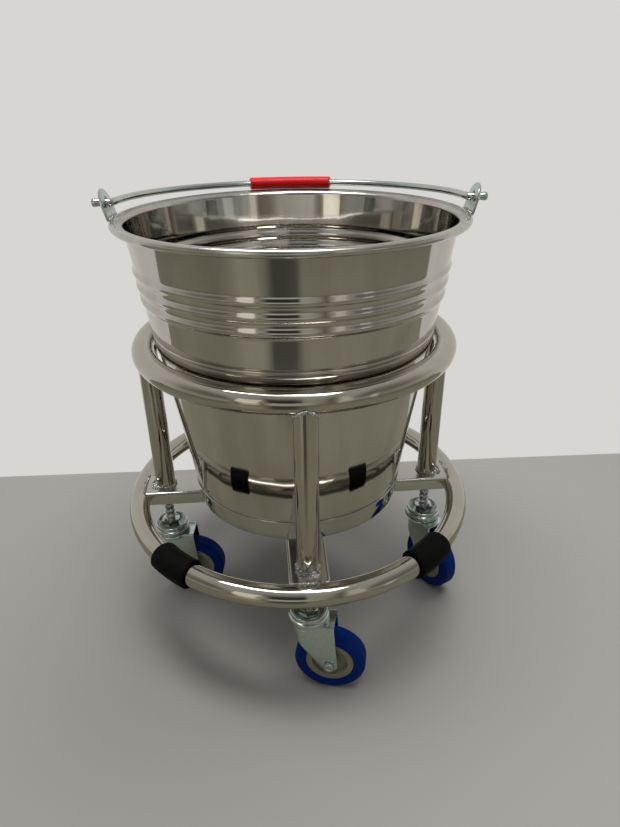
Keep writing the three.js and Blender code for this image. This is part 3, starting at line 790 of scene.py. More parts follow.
# Caster cups: pressed upper races, a skirt over the balls with a narrower ring above it.
# They are clamped on the kingpin and don't turn with the fork.
CUP_R = 18.0
CUP_RIM_R = 16.5
CUP_BORE_R = 5.3
CUP_SKIRT_R = 15.8
CUP_WELL_R = 13.5
CUP_LOW_Z = 78.1
CUP_ROOF_Z = 81.1
CUP_SHOULDER_Z = 83.4
CUP_WELL_Z = 83.9
CUP_NECK = (16.1, 84.0)
CUP_RIM_Z = (85.4, 88.2)
CUP_EDGES = [0.3, 0.8, 0.5, 0.8, 2.4, 0.5, 0.8, 1.5, 1.4, 0.9, 0.3]
CUP_SIDES = 72
cup_outline = [
    (CUP_BORE_R, CUP_ROOF_Z), (CUP_SKIRT_R, CUP_ROOF_Z), (CUP_SKIRT_R, CUP_LOW_Z), (CUP_R, CUP_LOW_Z),
    (CUP_R, CUP_SHOULDER_Z), CUP_NECK, (CUP_RIM_R, CUP_RIM_Z[0]), (CUP_RIM_R, CUP_RIM_Z[1]),
    (CUP_WELL_R, CUP_RIM_Z[1]), (CUP_WELL_R, CUP_WELL_Z), (CUP_BORE_R, CUP_WELL_Z),
]
cup_shape = turned(rounded(cup_outline, CUP_EDGES), ZINC, CUP_SIDES)
on_casters("swivel_cup", cup_shape, ZINC, "frame", "zinc", "cup")


# Ball rings: loose steel balls between the cup and the fork's race.
# They roll round with the fork, mostly out of sight.
BALL_R = 1.5
BALL_CIRCLE_R = 12.7
BALL_Z = 79.3
BALL_COUNT = 24
BALL_STEEL = (0.32, 0.32, 0.31, 1.0)
BALL_OILED = (0.10, 0.085, 0.06, 1.0)


def ball_racer():
    """Balls in a level circle."""
    bench, given = shape_tree(
        "ball_ring",
        {"Start": "Geometry", "Count": "Int", "Circle": "Float", "Ball": "Float", "Finish": "Material"},
    )
    circle = {"Vertices": given["Count"], "Radius": given["Circle"]}
    spots = bench.node("GeometryNodeMeshCircle", None, circle)
    facets = {"Segments": 10, "Rings": 7, "Radius": given["Ball"]}
    ball = bench.node("GeometryNodeMeshUVSphere", None, facets)
    rows = bench.node("GeometryNodeInstanceOnPoints", None, {"Points": spots, "Instance": ball})
    return closing(bench, rows, given["Finish"])


def oiled_steel():
    """Hardened steel with a brown film of old oil."""
    material, bench, place = blank("oiled_steel")
    film = noise(bench, place, scale=320.0, detail=3.0)
    tone = between(bench, film, BALL_STEEL, BALL_OILED)
    rough = 0.18 + film * 0.22
    shade(bench, {"Base Color": tone, "Metallic": 1.0, "Roughness": rough})
    return material


OILED = oiled_steel()
ball_sizes = {"Count": BALL_COUNT, "Circle": BALL_CIRCLE_R * MM, "Ball": BALL_R * MM, "Finish": OILED}
ball_shape = lifted(grown(ball_racer(), ball_sizes, short_line()), BALL_Z)
on_casters("swivel_balls", ball_shape, OILED, "swivel", "dark_steel", "ball_ring")


# Forks: zinc plated sheet pressed to a U with a rounded nose, a round race standing proud
# of its sides at the top, and cheeks that narrow to the axle's eyes.
TRAIL = 19.4
WHEEL_R = 31.75
FORK_TOP_Z = 77.5
FORK_SHEET = 2.0
FORK_HALF = 11.7
FORK_NOSE_X = -14.9
FORK_REAR_X = 23.3
FORK_MIDDLE_X = 2.0
FORK_EYE_R = 7.2
FORK_EYE_ARC = (225.0, 370.0)
FORK_KINK = (-8.8, 57.5)
FORK_SWOOP = 0.35
FORK_FOLD_R = 1.6
RACE_R = 17.0
RACE_LOW_Z = 70.5
RACE_LOW_R = 10.7
RACE_BLEND = 1.1
RACE_LIP = 1.0
FORK_NOSE_COLUMNS = 12
FORK_CHEEK_COLUMNS = 34
FORK_EYE_STEPS = 24
FORK_ROWS = 16
FORK_ROW_PACK = 1.6
FORK_FOLD_ROWS = 4
FORK_PALE = (0.71, 0.81, 0.83, 1.0)
FORK_DEEP = (0.55, 0.65, 0.66, 1.0)
FORK_EDGE_R = 0.35
FORK_EDGE_FROM = 50.0


def held(share):
    return min(max(share, 0.0), 1.0)


def eased(share):
    """From 0 to 1 with a soft start and end."""
    return share * share * (3 - 2 * share)


def along(points, share):
    """The point at a share of a line's length."""
    lengths = [math.dist(a, b) for a, b in zip(points, points[1:])]
    left = share * sum(lengths)
    for (a, b), length in zip(zip(points, points[1:]), lengths):
        if left <= length:
            t = left / length
            return tuple(p + (q - p) * t for p, q in zip(a, b))
        left -= length
    return tuple(points[-1])


def fork_columns():
    """Half of the fork from the nose to the rear, as (x at the top, x at the lower edge, its z)."""
    nose_centre = FORK_HALF + FORK_NOSE_X
    columns = []
    last = math.acos((nose_centre - FORK_KINK[0]) / FORK_HALF)
    for k in range(FORK_NOSE_COLUMNS):
        x = nose_centre - FORK_HALF * math.cos(last * k / FORK_NOSE_COLUMNS)
        share = (x - FORK_NOSE_X) / (FORK_KINK[0] - FORK_NOSE_X)
        ease = eased(share) * FORK_SWOOP + share * (1.0 - FORK_SWOOP)
        columns.append((x, x, RACE_LOW_Z + (FORK_KINK[1] - RACE_LOW_Z) * ease))
    edge = [FORK_KINK] + arc((TRAIL, WHEEL_R), FORK_EYE_R, *FORK_EYE_ARC, FORK_EYE_STEPS)
    for k in range(FORK_CHEEK_COLUMNS + 1):
        share = k / FORK_CHEEK_COLUMNS
        x, z = along(edge, share)
        columns.append((FORK_KINK[0] + (FORK_REAR_X - FORK_KINK[0]) * share, x, z))
    return columns


def fork_point(x, z, hand):
    """A point of the fork's outside: the U's plan, swollen to the race near the top."""
    nose_centre = FORK_HALF + FORK_NOSE_X
    y = FORK_HALF
    if x < nose_centre:
        y = math.sqrt(max(FORK_HALF ** 2 - (x - nose_centre) ** 2, 0.0))
    rise = held((z - RACE_LOW_Z) / (FORK_TOP_Z - RACE_LIP - RACE_LOW_Z))
    race = RACE_LOW_R + (RACE_R - RACE_LOW_R) * eased(rise)
    reach = math.hypot(x, y)
    share = held(0.5 + 0.5 * (race - reach) / RACE_BLEND)
    grown_reach = reach * (1 - share) + race * share + RACE_BLEND * share * (1 - share) * 0.5
    swell = max(grown_reach, reach) / max(reach, 1e-6)
    return Vector((x * swell, hand * y * swell, z))


def fork_skin():
    """The fork's outside as one open sheet: two cheeks, the fold and the flat top."""
    half = fork_columns()
    columns = [(-1.0, c) for c in reversed(half[1:])] + [(1.0, c) for c in half]
    rows = []
    for k in range(FORK_ROWS):
        share = (1.0 - k / (FORK_ROWS - 1)) ** FORK_ROW_PACK
        row = []
        for hand, (top_x, low_x, low_z) in columns:
            high_z = FORK_TOP_Z - FORK_FOLD_R
            z = high_z + (low_z - high_z) * share
            x = top_x + (low_x - top_x) * share
            row.append(fork_point(x, z, hand))
        rows.append(row)
    rim = rows[-1]
    last = len(rim) - 1
    inward = []
    for k, point in enumerate(rim):
        way = rim[min(k + 1, last)] - rim[max(k - 1, 0)]
        inward.append(Vector((-way.y, way.x, 0.0)).normalized())
    middle = Vector((FORK_MIDDLE_X, 0.0, 0.0))
    if (middle - rim[last // 2]).dot(inward[last // 2]) < 0:
        inward = [-way for way in inward]
    for k in range(1, FORK_FOLD_ROWS + 1):
        turn = math.pi / 2 * k / FORK_FOLD_ROWS
        lift = FORK_FOLD_R * math.sin(turn)
        inset = FORK_FOLD_R * (1 - math.cos(turn))
        rows.append([p + Vector((0.0, 0.0, lift)) + way * inset for p, way in zip(rim, inward)])
    count = len(columns)
    faces = []
    for i in range(len(rows) - 1):
        for k in range(count - 1):
            a = i * count + k
            faces.append((a, a + 1, a + 1 + count, a + count))
    top = (len(rows) - 1) * count
    for k in range(last // 2):
        a, b = top + k, top + last - k
        faces.append((a, a + 1, b - 1, b) if a + 1 != b - 1 else (a, a + 1, b))
    mesh = bpy.data.meshes.new("fork_skin")
    mesh.from_pydata([point * MM for row in rows for point in row], [], faces)
    return mesh


def fork_sheet():
    """The pressed sheet: the skin given its thickness inwards, its cut edges eased."""
    mesh = outward(fork_skin())
    highest = max(mesh.polygons, key=lambda face: face.center.z)
    if highest.normal.z < 0:
        mesh.flip_normals()
    thing = bpy.data.objects.new("fork_sheet", mesh)
    wall = thing.modifiers.new("wall", "SOLIDIFY")
    wall.thickness = FORK_SHEET * MM
    wall.offset = -1.0
    wall.use_even_offset = False
    ease = thing.modifiers.new("ease", "BEVEL")
    ease.width = FORK_EDGE_R * MM
    ease.segments = 2
    ease.limit_method = "ANGLE"
    ease.angle_limit = math.radians(FORK_EDGE_FROM)
    return settled(thing)


FORK_ZINC = zinc("fork_plate", FORK_DEEP, FORK_PALE)
fork_shape = fork_sheet()
on_casters("pressed_fork", fork_shape, FORK_ZINC, "swivel", "zinc", "fork")


# Axles: zinc plated bolts through the fork's eyes, each with a round head that is dished
# in the middle, and on the other side a plain nut with the thread standing just past it.
AXLE_R = 3.0
AXLE_FLATS = 10.0
AXLE_HEAD_R = 4.4
AXLE_HEAD = 3.2
AXLE_DISH_R = 2.2
AXLE_DISH = 0.5
AXLE_NUT = 5.0
AXLE_TIP = 1.5
AXLE_OUTSIDE = 12.0
AXLE_EDGES = [0.0, 0.5, 0.2, 0.3, 0.8, 0.3, 0.3, 0.0]
AXLE_SIDES = 40
WASHER_FACE = 0.35
WASHER_SHARE = 0.47
NUT_GAP = 0.1
axle_tip = AXLE_OUTSIDE + AXLE_NUT + AXLE_TIP
axle_top = AXLE_OUTSIDE + AXLE_HEAD
axle_outline = [
    (0.0, -axle_tip), (AXLE_R, -axle_tip), (AXLE_R, AXLE_OUTSIDE), (AXLE_HEAD_R, AXLE_OUTSIDE),
    (AXLE_HEAD_R, axle_top), (AXLE_DISH_R, axle_top), (AXLE_DISH_R - AXLE_DISH, axle_top - AXLE_DISH),
    (0.0, axle_top - AXLE_DISH),
]
axle_rounded = rounded(axle_outline, AXLE_EDGES, looped=False)
axle_shape = turned(axle_rounded, ZINC, AXLE_SIDES, looped=False)
nut_end = -AXLE_OUTSIDE - AXLE_NUT
nut_bore_r = AXLE_R + NUT_GAP
washer_r = AXLE_FLATS * WASHER_SHARE
nut_core = [
    (nut_bore_r, nut_end + NUT_GAP), (washer_r, nut_end + NUT_GAP),
    (washer_r, -AXLE_OUTSIDE), (nut_bore_r, -AXLE_OUTSIDE),
]
nut_shape = together(
    hexagon(AXLE_FLATS, nut_end, -AXLE_OUTSIDE - WASHER_FACE),
    turned(rounded(nut_core, NUT_GAP), ZINC, AXLE_SIDES),
)
ON_AXLE = Matrix.Translation((TRAIL * MM, 0.0, WHEEL_R * MM)) @ Matrix.Rotation(math.pi / 2, 4, "X")
on_casters("axle_bolt", axle_shape, ZINC, "swivel", "zinc", "axle", ON_AXLE)
on_casters("axle_lock_nut", nut_shape, ZINC, "swivel", "zinc", "axle_nut", ON_AXLE)


# Bushes: plain steel sleeves clamped between the cheeks on the axle.
# The hub runs on them; only their ends can be seen.
BUSH_R = 5.1
BUSH_BORE_R = 3.3
BUSH_HALF = 9.4
BUSH_EDGE_R = 0.4
BUSH_SIDES = 32
bush_outline = [
    (BUSH_BORE_R, -BUSH_HALF), (BUSH_R, -BUSH_HALF), (BUSH_R, BUSH_HALF), (BUSH_BORE_R, BUSH_HALF),
]
bush_shape = turned(rounded(bush_outline, BUSH_EDGE_R), OILED, BUSH_SIDES)
on_casters("axle_sleeve", bush_shape, OILED, "swivel", "dark_steel", "bush", ON_AXLE)


# Hubs: cream plastic wheel centres, moulded with a deep recess round a boss on each face.
# They run on the bushes and carry the tyres.
HUB_R = 21.5
HUB_FACE_HALF = 7.7
HUB_RECESS_R = 15.5
HUB_WEB_HALF = 3.0
HUB_BOSS_R = 8.5
HUB_BOSS_HALF = 9.1
HUB_BORE_R = 5.4
HUB_BOSS_DRAFT = 0.4
HUB_RIM_DRAFT = 0.3
HUB_EDGE_R = 0.9
HUB_SIDES = 96
CREAM = (0.31, 0.305, 0.215, 1.0)
CREAM_AGED = (0.22, 0.215, 0.145, 1.0)


def mirrored_outline(half):
    """A wheel's outline from the half above its middle plane."""
    return half + [(r, -z) for r, z in reversed(half)]


def cream_plastic():
    """Moulded plastic gone a little yellow and darker in patches, with a fine grain."""
    material, bench, place = blank("cream_plastic")
    age = noise(bench, place, scale=75.0, detail=3.0)
    grain = noise(bench, place, scale=1300.0, detail=2.0)
    tone = between(bench, age, CREAM, CREAM_AGED)
    rough = 0.36 + age * 0.12 + grain * 0.08
    normal = bump(bench, grain, distance=0.00005)
    shade(bench, {"Base Color": tone, "Roughness": rough, "Normal": normal})
    return material


CREAM_PLASTIC = cream_plastic()
hub_half = [
    (HUB_BORE_R, HUB_BOSS_HALF), (HUB_BOSS_R - HUB_BOSS_DRAFT, HUB_BOSS_HALF), (HUB_BOSS_R, HUB_WEB_HALF),
    (HUB_RECESS_R - HUB_RIM_DRAFT, HUB_WEB_HALF), (HUB_RECESS_R + HUB_RIM_DRAFT, HUB_FACE_HALF),
    (HUB_R, HUB_FACE_HALF),
]
hub_shape = turned(rounded(mirrored_outline(hub_half), HUB_EDGE_R), CREAM_PLASTIC, HUB_SIDES)
on_casters("wheel_centre", hub_shape, CREAM_PLASTIC, "wheel", "cream_plastic", "hub", ON_AXLE)


# Tyres: blue polyurethane cast round the hubs, with a flat tread and sloping shoulders.
# Tread and sides share one finish, dusty in patches.
TYRE_HALF = 8.5
TREAD_HALF = 5.7
TYRE_SHOULDER_R = 29.15
TYRE_BORE_R = 21.8
TYRE_EDGES = [0.8, 1.6, 2.2, 2.2, 1.6, 0.8]
TYRE_EDGE_STEPS = 7
TYRE_SIDES = 120
TYRE_BLUE = (0.001, 0.023, 0.185, 1.0)
TYRE_DUSTY = (0.005, 0.031, 0.205, 1.0)


def blue_tyre():
    """Cast polyurethane: deep blue, dusty in patches, with faint mould texture."""
    material, bench, place = blank("blue_tyre")
    dust = above(bench, noise(bench, place, scale=120.0, detail=4.0), edge=0.58, softness=0.16)
    skin_grain = noise(bench, place, scale=900.0, detail=2.0)
    tone = between(bench, dust, TYRE_BLUE, TYRE_DUSTY)
    rough = 0.40 + dust * 0.2 + skin_grain * 0.1
    normal = bump(bench, skin_grain, distance=0.00008)
    shade(bench, {"Base Color": tone, "Roughness": rough, "Normal": normal, "Specular IOR Level": 0.06})
    return material


BLUE = blue_tyre()
tyre_half = [(TYRE_BORE_R, TYRE_HALF), (TYRE_SHOULDER_R, TYRE_HALF), (WHEEL_R, TREAD_HALF)]
tyre_outline = rounded(mirrored_outline(tyre_half), TYRE_EDGES, steps=TYRE_EDGE_STEPS)
tyre_shape = turned(tyre_outline, BLUE, TYRE_SIDES)
on_casters("cast_tyre", tyre_shape, BLUE, "wheel", "blue_tyre", "tyre", ON_AXLE)


# Pail body: stainless sheet drawn and spun to two cones with a shoulder between them,
# three swaged beads, and a flared lip rolled round at its edge. Mirror polished.
PAIL_Z = 134.0
PAIL_TURN = -2.5
PAIL_SHEET = 1.0
FLOOR_Z = 5.0
BASE_R = 98.0
BASE_CORNER_R = 6.0
BASE_CORNER_STEPS = 8
LOWER_ROWS = [30.0, 80.0, 130.0, 148.0]
NECK_R = 120.3
NECK_Z = 155.5
SHOULDER_R = 123.0
SHOULDER_Z = 168.5
SHOULDER_STEPS = 14
BELOW_BEADS = [173.0, 184.0]
ABOVE_BEADS = [232.0, 246.0]
MOUTH_R = 134.6
FLARE_Z = 254.5
FLARE_STEPS = 16
FLARE_UNDER_STEPS = 10
FLARE_IN_ROLL = 3
RIM_Z = 260.0
ROLL_R = 3.0
ROLL_CENTRE_R = 141.6
ROLL_ARC = (150.0, 440.0)
ROLL_STEPS = 28
BEAD_COUNT = 3
BEAD_PITCH = 11.2
BEAD_PROUD = 1.8
BEADS_FROM = 194.1
BEAD_STEPS = 14
BEAD_CURVE = 1.3
CREASE_DEPTH = 0.7
CREASE_HALF = 1.1
CREASE_STEPS = 8
LIP_GROOVE_R = 138.9
LIP_GROOVE_DEPTH = 0.35
LIP_GROOVE_HALF = 0.6
LIP_DULL_FROM = 2.0
LIP_DULL_SOFT = 1.5
FLOOR_RIPPLE = 0.06
PAIL_CREASE = 40.0
PAIL_SIDES = 224
PAIL_PALE = (0.62, 0.60, 0.56, 1.0)
PAIL_DEEP = (0.48, 0.46, 0.415, 1.0)


def lower_wall(z):
    return BASE_R + (NECK_R - BASE_R) * (z - FLOOR_Z) / (NECK_Z - FLOOR_Z)


def upper_wall(z):
    return SHOULDER_R + (MOUTH_R - SHOULDER_R) * (z - SHOULDER_Z) / (FLARE_Z - SHOULDER_Z)


def wall_line():
    """The wall's outside from above the base corner to the flare."""
    line = [(lower_wall(z), z) for z in [FLOOR_Z + BASE_CORNER_R] + LOWER_ROWS]
    for k in range(SHOULDER_STEPS + 1):
        turn = math.pi / 2 * k / SHOULDER_STEPS
        r = NECK_R + (SHOULDER_R - NECK_R) * math.sin(turn)
        line.append((r, NECK_Z + (SHOULDER_Z - NECK_Z) * (1 - math.cos(turn))))
    for k in range(1, CREASE_STEPS + 1):
        share = k / CREASE_STEPS
        z = SHOULDER_Z + 2 * CREASE_HALF * share
        line.append((upper_wall(z) - CREASE_DEPTH * math.sin(math.pi * share), z))
    line += [(upper_wall(z), z) for z in BELOW_BEADS]
    for k in range(BEAD_COUNT * BEAD_STEPS + 1):
        z = BEADS_FROM + BEAD_PITCH * k / BEAD_STEPS
        crest = 0.5 - 0.5 * math.cos(2 * math.pi * k / BEAD_STEPS)
        line.append((upper_wall(z) + BEAD_PROUD * crest ** BEAD_CURVE, z))
    line += [(upper_wall(z), z) for z in ABOVE_BEADS]
    return line


def flare_line(wall_r, top_z, steps):
    """The lip's quarter ellipse, from the wall up to level over the roll's centre."""
    width = ROLL_CENTRE_R - wall_r
    height = top_z - FLARE_Z
    line = []
    for k in range(steps + 1):
        turn = math.pi / 2 * k / steps
        r = ROLL_CENTRE_R - width * math.cos(turn)
        z = FLARE_Z + height * math.sin(turn)
        off = (r - LIP_GROOVE_R) / LIP_GROOVE_HALF
        line.append((r, z - LIP_GROOVE_DEPTH * math.exp(-off * off)))
    return line


def bowl(inset):
    """One face of the sheet from the middle of the floor up the wall: 0 for the outer face."""
    wall = [(r - inset, z) for r, z in wall_line()]
    floor_z = FLOOR_Z + inset
    corner = [(0.0, floor_z), (lower_wall(FLOOR_Z) - inset, floor_z), wall[1]]
    eased_corner = rounded(corner, BASE_CORNER_R - inset, looped=False, steps=BASE_CORNER_STEPS)
    return eased_corner[:-1] + wall[1:]


def pail_outline():
    under_lip = flare_line(MOUTH_R, RIM_Z - PAIL_SHEET, FLARE_UNDER_STEPS)
    outside = bowl(0.0) + under_lip[:-FLARE_IN_ROLL]
    roll = arc((ROLL_CENTRE_R, RIM_Z - ROLL_R), ROLL_R, *ROLL_ARC, ROLL_STEPS)
    inside = bowl(PAIL_SHEET) + flare_line(MOUTH_R - PAIL_SHEET, RIM_Z, FLARE_STEPS)
    return outside + [(r, z) for r, z in roll if z <= RIM_Z] + inside[::-1]


def pail_steel():
    """Mirror polished sheet: hazy buffing rings, shallow ripples, and a duller lip."""
    material, bench, place = blank("pail_steel")
    height = bench.node("ShaderNodeSeparateXYZ", None, {0: place}).part("Z")
    lip = above(bench, height, (PAIL_Z + FLARE_Z + LIP_DULL_FROM) * MM, LIP_DULL_SOFT * MM)
    cloud = noise(bench, place, scale=14.0, detail=3.0)
    buffed = noise(bench, place, scale=1.0, detail=3.0, stretch=(6.0, 6.0, 420.0))
    streak = noise(bench, place, scale=1.0, detail=3.0, stretch=(48.0, 48.0, 4.0))
    patch = above(bench, cloud * 0.4 + streak * 0.6, edge=0.5, softness=0.22)
    tone = between(bench, patch, PAIL_DEEP, PAIL_PALE)
    rough = 0.028 + cloud * 0.035 + buffed * 0.035 + lip * 0.15
    wall = above(bench, height, (PAIL_Z + FLOOR_Z + 2 * BASE_CORNER_R) * MM, BASE_CORNER_R * MM)
    on_wall = FLOOR_RIPPLE + (1.0 - FLOOR_RIPPLE) * wall
    drawn = noise(bench, place, scale=1.0, detail=2.0, stretch=(22.0, 22.0, 4.0)) * on_wall
    normal = bump(bench, drawn, distance=0.0012)
    shade(bench, {"Base Color": tone, "Metallic": 1.0, "Roughness": rough, "Normal": normal})
    return material


PAIL_STEEL = pail_steel()
PAIL_PLACE = raised(PAIL_Z) @ spun(PAIL_TURN)
pail_shape = turned(pail_outline(), PAIL_STEEL, PAIL_SIDES, looped=False)
pail_body = placed("spun_pail", pail_shape, PAIL_PLACE)
dressed(pail_body, PAIL_STEEL, "pail", ["pail_body"], PAIL_CREASE)


# Pail foot: a band of the same sheet, rolled to the pail's taper and welded round its base.
# The pail stands on its lower edge.
FOOT_TOP_Z = 19.5
FOOT_GAP = 0.3
FOOT_EDGE_R = 0.4
FOOT_CREASE = 50.0
foot_low_r = lower_wall(0.0) + FOOT_GAP
foot_high_r = lower_wall(FOOT_TOP_Z) + FOOT_GAP
foot_outline = [
    (foot_low_r, 0.0), (foot_low_r + PAIL_SHEET, 0.0),
    (foot_high_r + PAIL_SHEET, FOOT_TOP_Z), (foot_high_r - FOOT_GAP, FOOT_TOP_Z),
]
foot_shape = turned(rounded(foot_outline, FOOT_EDGE_R), PAIL_STEEL, PAIL_SIDES)
pail_foot = placed("foot_band", foot_shape, PAIL_PLACE)
dressed(pail_foot, PAIL_STEEL, "pail", ["pail_foot"], FOOT_CREASE)


# Ears: round-topped zinc plated plates welded to the outside of the rolled rim,
# leaning outwards, each with a hole for the bail's end.
EAR_HALF = 13.8
EAR_HALF_SHEET = 1.0
EAR_LEAN = 15.0
EAR_ROOT = (145.75, 389.89)
EAR_PIVOT_UP = 13.676
EAR_CROWN_UP = 10.876
EAR_HOLE_R = 4.2
EAR_EDGE_R = 0.45
EAR_FOOT_R = 2.0
EAR_FOOT_STEPS = 6
EAR_CROWN_STEPS = 48
EAR_WELD_R = 1.2
EAR_WELD_UP = 1.2
EAR_WELD_OUT = 0.2
EAR_WELD_SPAN = 0.9
EAR_WELD_STEPS = 20
EARS = {"right": PAIL_TURN, "left": 180.0 + PAIL_TURN}


def ear_outline():
    """The plate's edge as (across, up) points."""
    foot = arc((EAR_HALF - EAR_FOOT_R, EAR_FOOT_R), EAR_FOOT_R, -90.0, 0.0, EAR_FOOT_STEPS)
    crown = arc((0.0, EAR_CROWN_UP), EAR_HALF, 0.0, 180.0, EAR_CROWN_STEPS)
    level = [(x, 0.0) for x in evenly(EAR_HALF - EAR_FOOT_R, 2 * EAR_FOOT_STEPS)[1:-1]]
    return foot + crown + [(-x, y) for x, y in reversed(foot)] + level


def ear_ring(points, inset, out):
    """A ring of the plate: its edge drawn in towards the hole, at a distance from the middle plane."""
    lean = math.radians(EAR_LEAN)
    ring = []
    for across, up in points:
        back = Vector((across, up - EAR_PIVOT_UP))
        back *= 1.0 - inset / back.length
        rise = back.y + EAR_PIVOT_UP
        x = EAR_ROOT[0] + rise * math.sin(lean) + out * math.cos(lean)
        z = EAR_ROOT[1] + rise * math.cos(lean) - out * math.sin(lean)
        ring.append((x, back.x, z))
    return ring


def ear_plate():
    """The plate with its hole, all edges eased."""
    edge = ear_outline()
    hole = []
    for across, up in edge:
        way = Vector((across, up - EAR_PIVOT_UP)).normalized() * EAR_HOLE_R
        hole.append((way.x, way.y + EAR_PIVOT_UP))
    near = EAR_HALF_SHEET - EAR_EDGE_R
    return lofted(
        [
            ear_ring(edge, EAR_EDGE_R, -EAR_HALF_SHEET), ear_ring(edge, 0.0, -near),
            ear_ring(edge, 0.0, near), ear_ring(edge, EAR_EDGE_R, EAR_HALF_SHEET),
            ear_ring(hole, -EAR_EDGE_R, EAR_HALF_SHEET), ear_ring(hole, 0.0, near),
            ear_ring(hole, 0.0, -near), ear_ring(hole, -EAR_EDGE_R, -EAR_HALF_SHEET),
        ],
        looped=True,
    )


ear_shape = ear_plate()
ear_foot = [(x, EAR_WELD_UP) for x in evenly(EAR_HALF * EAR_WELD_SPAN, EAR_WELD_STEPS)]
ear_weld_path = ear_ring(ear_foot, 0.0, -EAR_HALF_SHEET - EAR_WELD_OUT)
ear_weld_shape = grown(WELDER, weld_sizes, weld_paths([(EAR_WELD_R, ear_weld_path)]))
round_about(EARS, "ear_plate", ear_shape, ZINC, "pail", "ear")
round_about(EARS, "ear_weld", ear_weld_shape, WELD_STEEL, "pail", crease=WELD_CREASE)


# Bail: one zinc plated wire bent to a half round bow, its ends turned out through the ears
# and upset to small heads so that they can't pull back.
WIRE_R = 3.0
BAIL_R = 144.53
BAIL_BEND_R = 5.0
BAIL_BEND = 75.0
BEND_STEPS = 12
BOW_FROM = 4.0
BAIL_PIVOT_Z = 403.1
BAIL_DROP = 1.4234
BAIL_CREASE = 45.0
STUB_END_R = 160.29
STUB_HEAD_R = 3.4
STUB_HEAD = [(0.0, 2.4), (0.3, 3.0), (1.0, STUB_HEAD_R), (3.5, STUB_HEAD_R), (4.1, 3.15), (4.7, WIRE_R)]
BOW_STEPS = 90
WIRE_SIDES = 20


def wire_drawer():
    """A round skin along a path, as thick as the path's 'bead' attribute says."""
    bench, given = shape_tree("drawn_wire", {"Path": "Geometry", "Sides": "Int", "Finish": "Material"})
    width = bench.node("GeometryNodeInputNamedAttribute", {"data_type": "FLOAT"}, {"Name": "bead"})
    line = bench.node("GeometryNodeMeshToCurve", None, {0: given["Path"]})
    ring = bench.node(
        "GeometryNodeCurvePrimitiveCircle",
        {"mode": "RADIUS"},
        {"Resolution": given["Sides"], "Radius": 1.0},
    )
    wire = bench.node(
        "GeometryNodeCurveToMesh",
        None,
        {"Curve": line, "Profile Curve": ring, "Scale": width, "Fill Caps": True},
    )
    return closing(bench, wire, given["Finish"])


def wire_path(stations):
    """A line of edges through (x, y, radius) stations, with the radius kept on each point."""
    mesh = bpy.data.meshes.new("wire_path")
    edges = [(k, k + 1) for k in range(len(stations) - 1)]
    mesh.from_pydata([(x * MM, y * MM, 0.0) for x, y, _ in stations], edges, [])
    beads = [r * MM for _, _, r in stations]
    mesh.attributes.new("bead", "FLOAT", "POINT").data.foreach_set("value", beads)
    return mesh


def bail_stations():
    """The wire from end to end: a head, the stub, the bend, the bow, and the same again."""
    half = [(STUB_END_R - back, 0.0, r) for back, r in STUB_HEAD]
    bend_start = BAIL_R + BAIL_BEND_R
    for k in range(BEND_STEPS + 1):
        turn = math.radians(BAIL_BEND * k / BEND_STEPS)
        x = bend_start - BAIL_BEND_R * math.sin(turn)
        half.append((x, BAIL_BEND_R * (1 - math.cos(turn)), WIRE_R))
    first = math.radians(BOW_FROM)
    for k in range(BOW_STEPS + 1):
        turn = first + (math.pi / 2 - first) * k / BOW_STEPS
        half.append((BAIL_R * math.cos(turn), BAIL_R * math.sin(turn), WIRE_R))
    return half + [(-x, y, r) for x, y, r in reversed(half[:-1])]


DRAWER = wire_drawer()
bail_tilt = Matrix.Rotation(math.radians(-BAIL_DROP), 4, "X")
BAIL_PLACE = spun(PAIL_TURN) @ raised(BAIL_PIVOT_Z) @ bail_tilt
wire_sizes = {"Sides": WIRE_SIDES, "Finish": ZINC}
bail_wire = placed("bent_bail", grown(DRAWER, wire_sizes, wire_path(bail_stations())), BAIL_PLACE)
dressed(bail_wire, ZINC, "bail", ["bail_wire"], BAIL_CREASE)


# Grip: a length of red vinyl tube slid over the bail before its ends were bent.
# It follows the bow and shows faint draw lines along its length.
GRIP_R = 5.7
GRIP_BORE_R = 3.15
GRIP_LENGTH = 82.0
GRIP_EDGE_R = 0.9
GRIP_EASE = 0.3
GRIP_STEPS = 40
GRIP_SIDES = 36
GRIP_CREASE = 50.0
RED = (0.66, 0.005, 0.009, 1.0)
RED_WORN = (0.56, 0.008, 0.011, 1.0)


def grip_stations():
    """The tube's skin from end to end along the bow, with its ends closed down to the wire."""
    half = GRIP_LENGTH / 2
    straight = half - GRIP_EDGE_R
    ends = [(half, GRIP_BORE_R), (half, GRIP_R - GRIP_EDGE_R), (half - GRIP_EASE, GRIP_R - GRIP_EASE)]
    spread = [(-s, GRIP_R) for s in evenly(straight, GRIP_STEPS)]
    stations = ends + spread + [(-s, r) for s, r in reversed(ends)]
    made = []
    for s, r in stations:
        turn = math.pi / 2 - s / BAIL_R
        made.append((BAIL_R * math.cos(turn), BAIL_R * math.sin(turn), r))
    return made


def red_vinyl():
    """Soft vinyl: glossy red, a little worn, with shallow draw lines."""
    material, bench, place = blank("red_vinyl")
    wear = above(bench, noise(bench, place, scale=130.0, detail=3.0), edge=0.58, softness=0.14)
    lines = noise(bench, place, scale=1.0, detail=2.0, stretch=(30.0, 900.0, 900.0))
    tone = between(bench, wear, RED, RED_WORN)
    rough = 0.30 + wear * 0.12 + lines * 0.06
    normal = bump(bench, lines, distance=0.00004)
    shade(bench, {"Base Color": tone, "Roughness": rough, "Normal": normal, "Specular IOR Level": 0.28})
    return material


RED_VINYL = red_vinyl()
grip_sizes = {"Sides": GRIP_SIDES, "Finish": RED_VINYL}
bail_grip = placed("vinyl_grip", grown(DRAWER, grip_sizes, wire_path(grip_stations())), BAIL_PLACE)
dressed(bail_grip, RED_VINYL, "bail", ["bail_grip"], GRIP_CREASE)
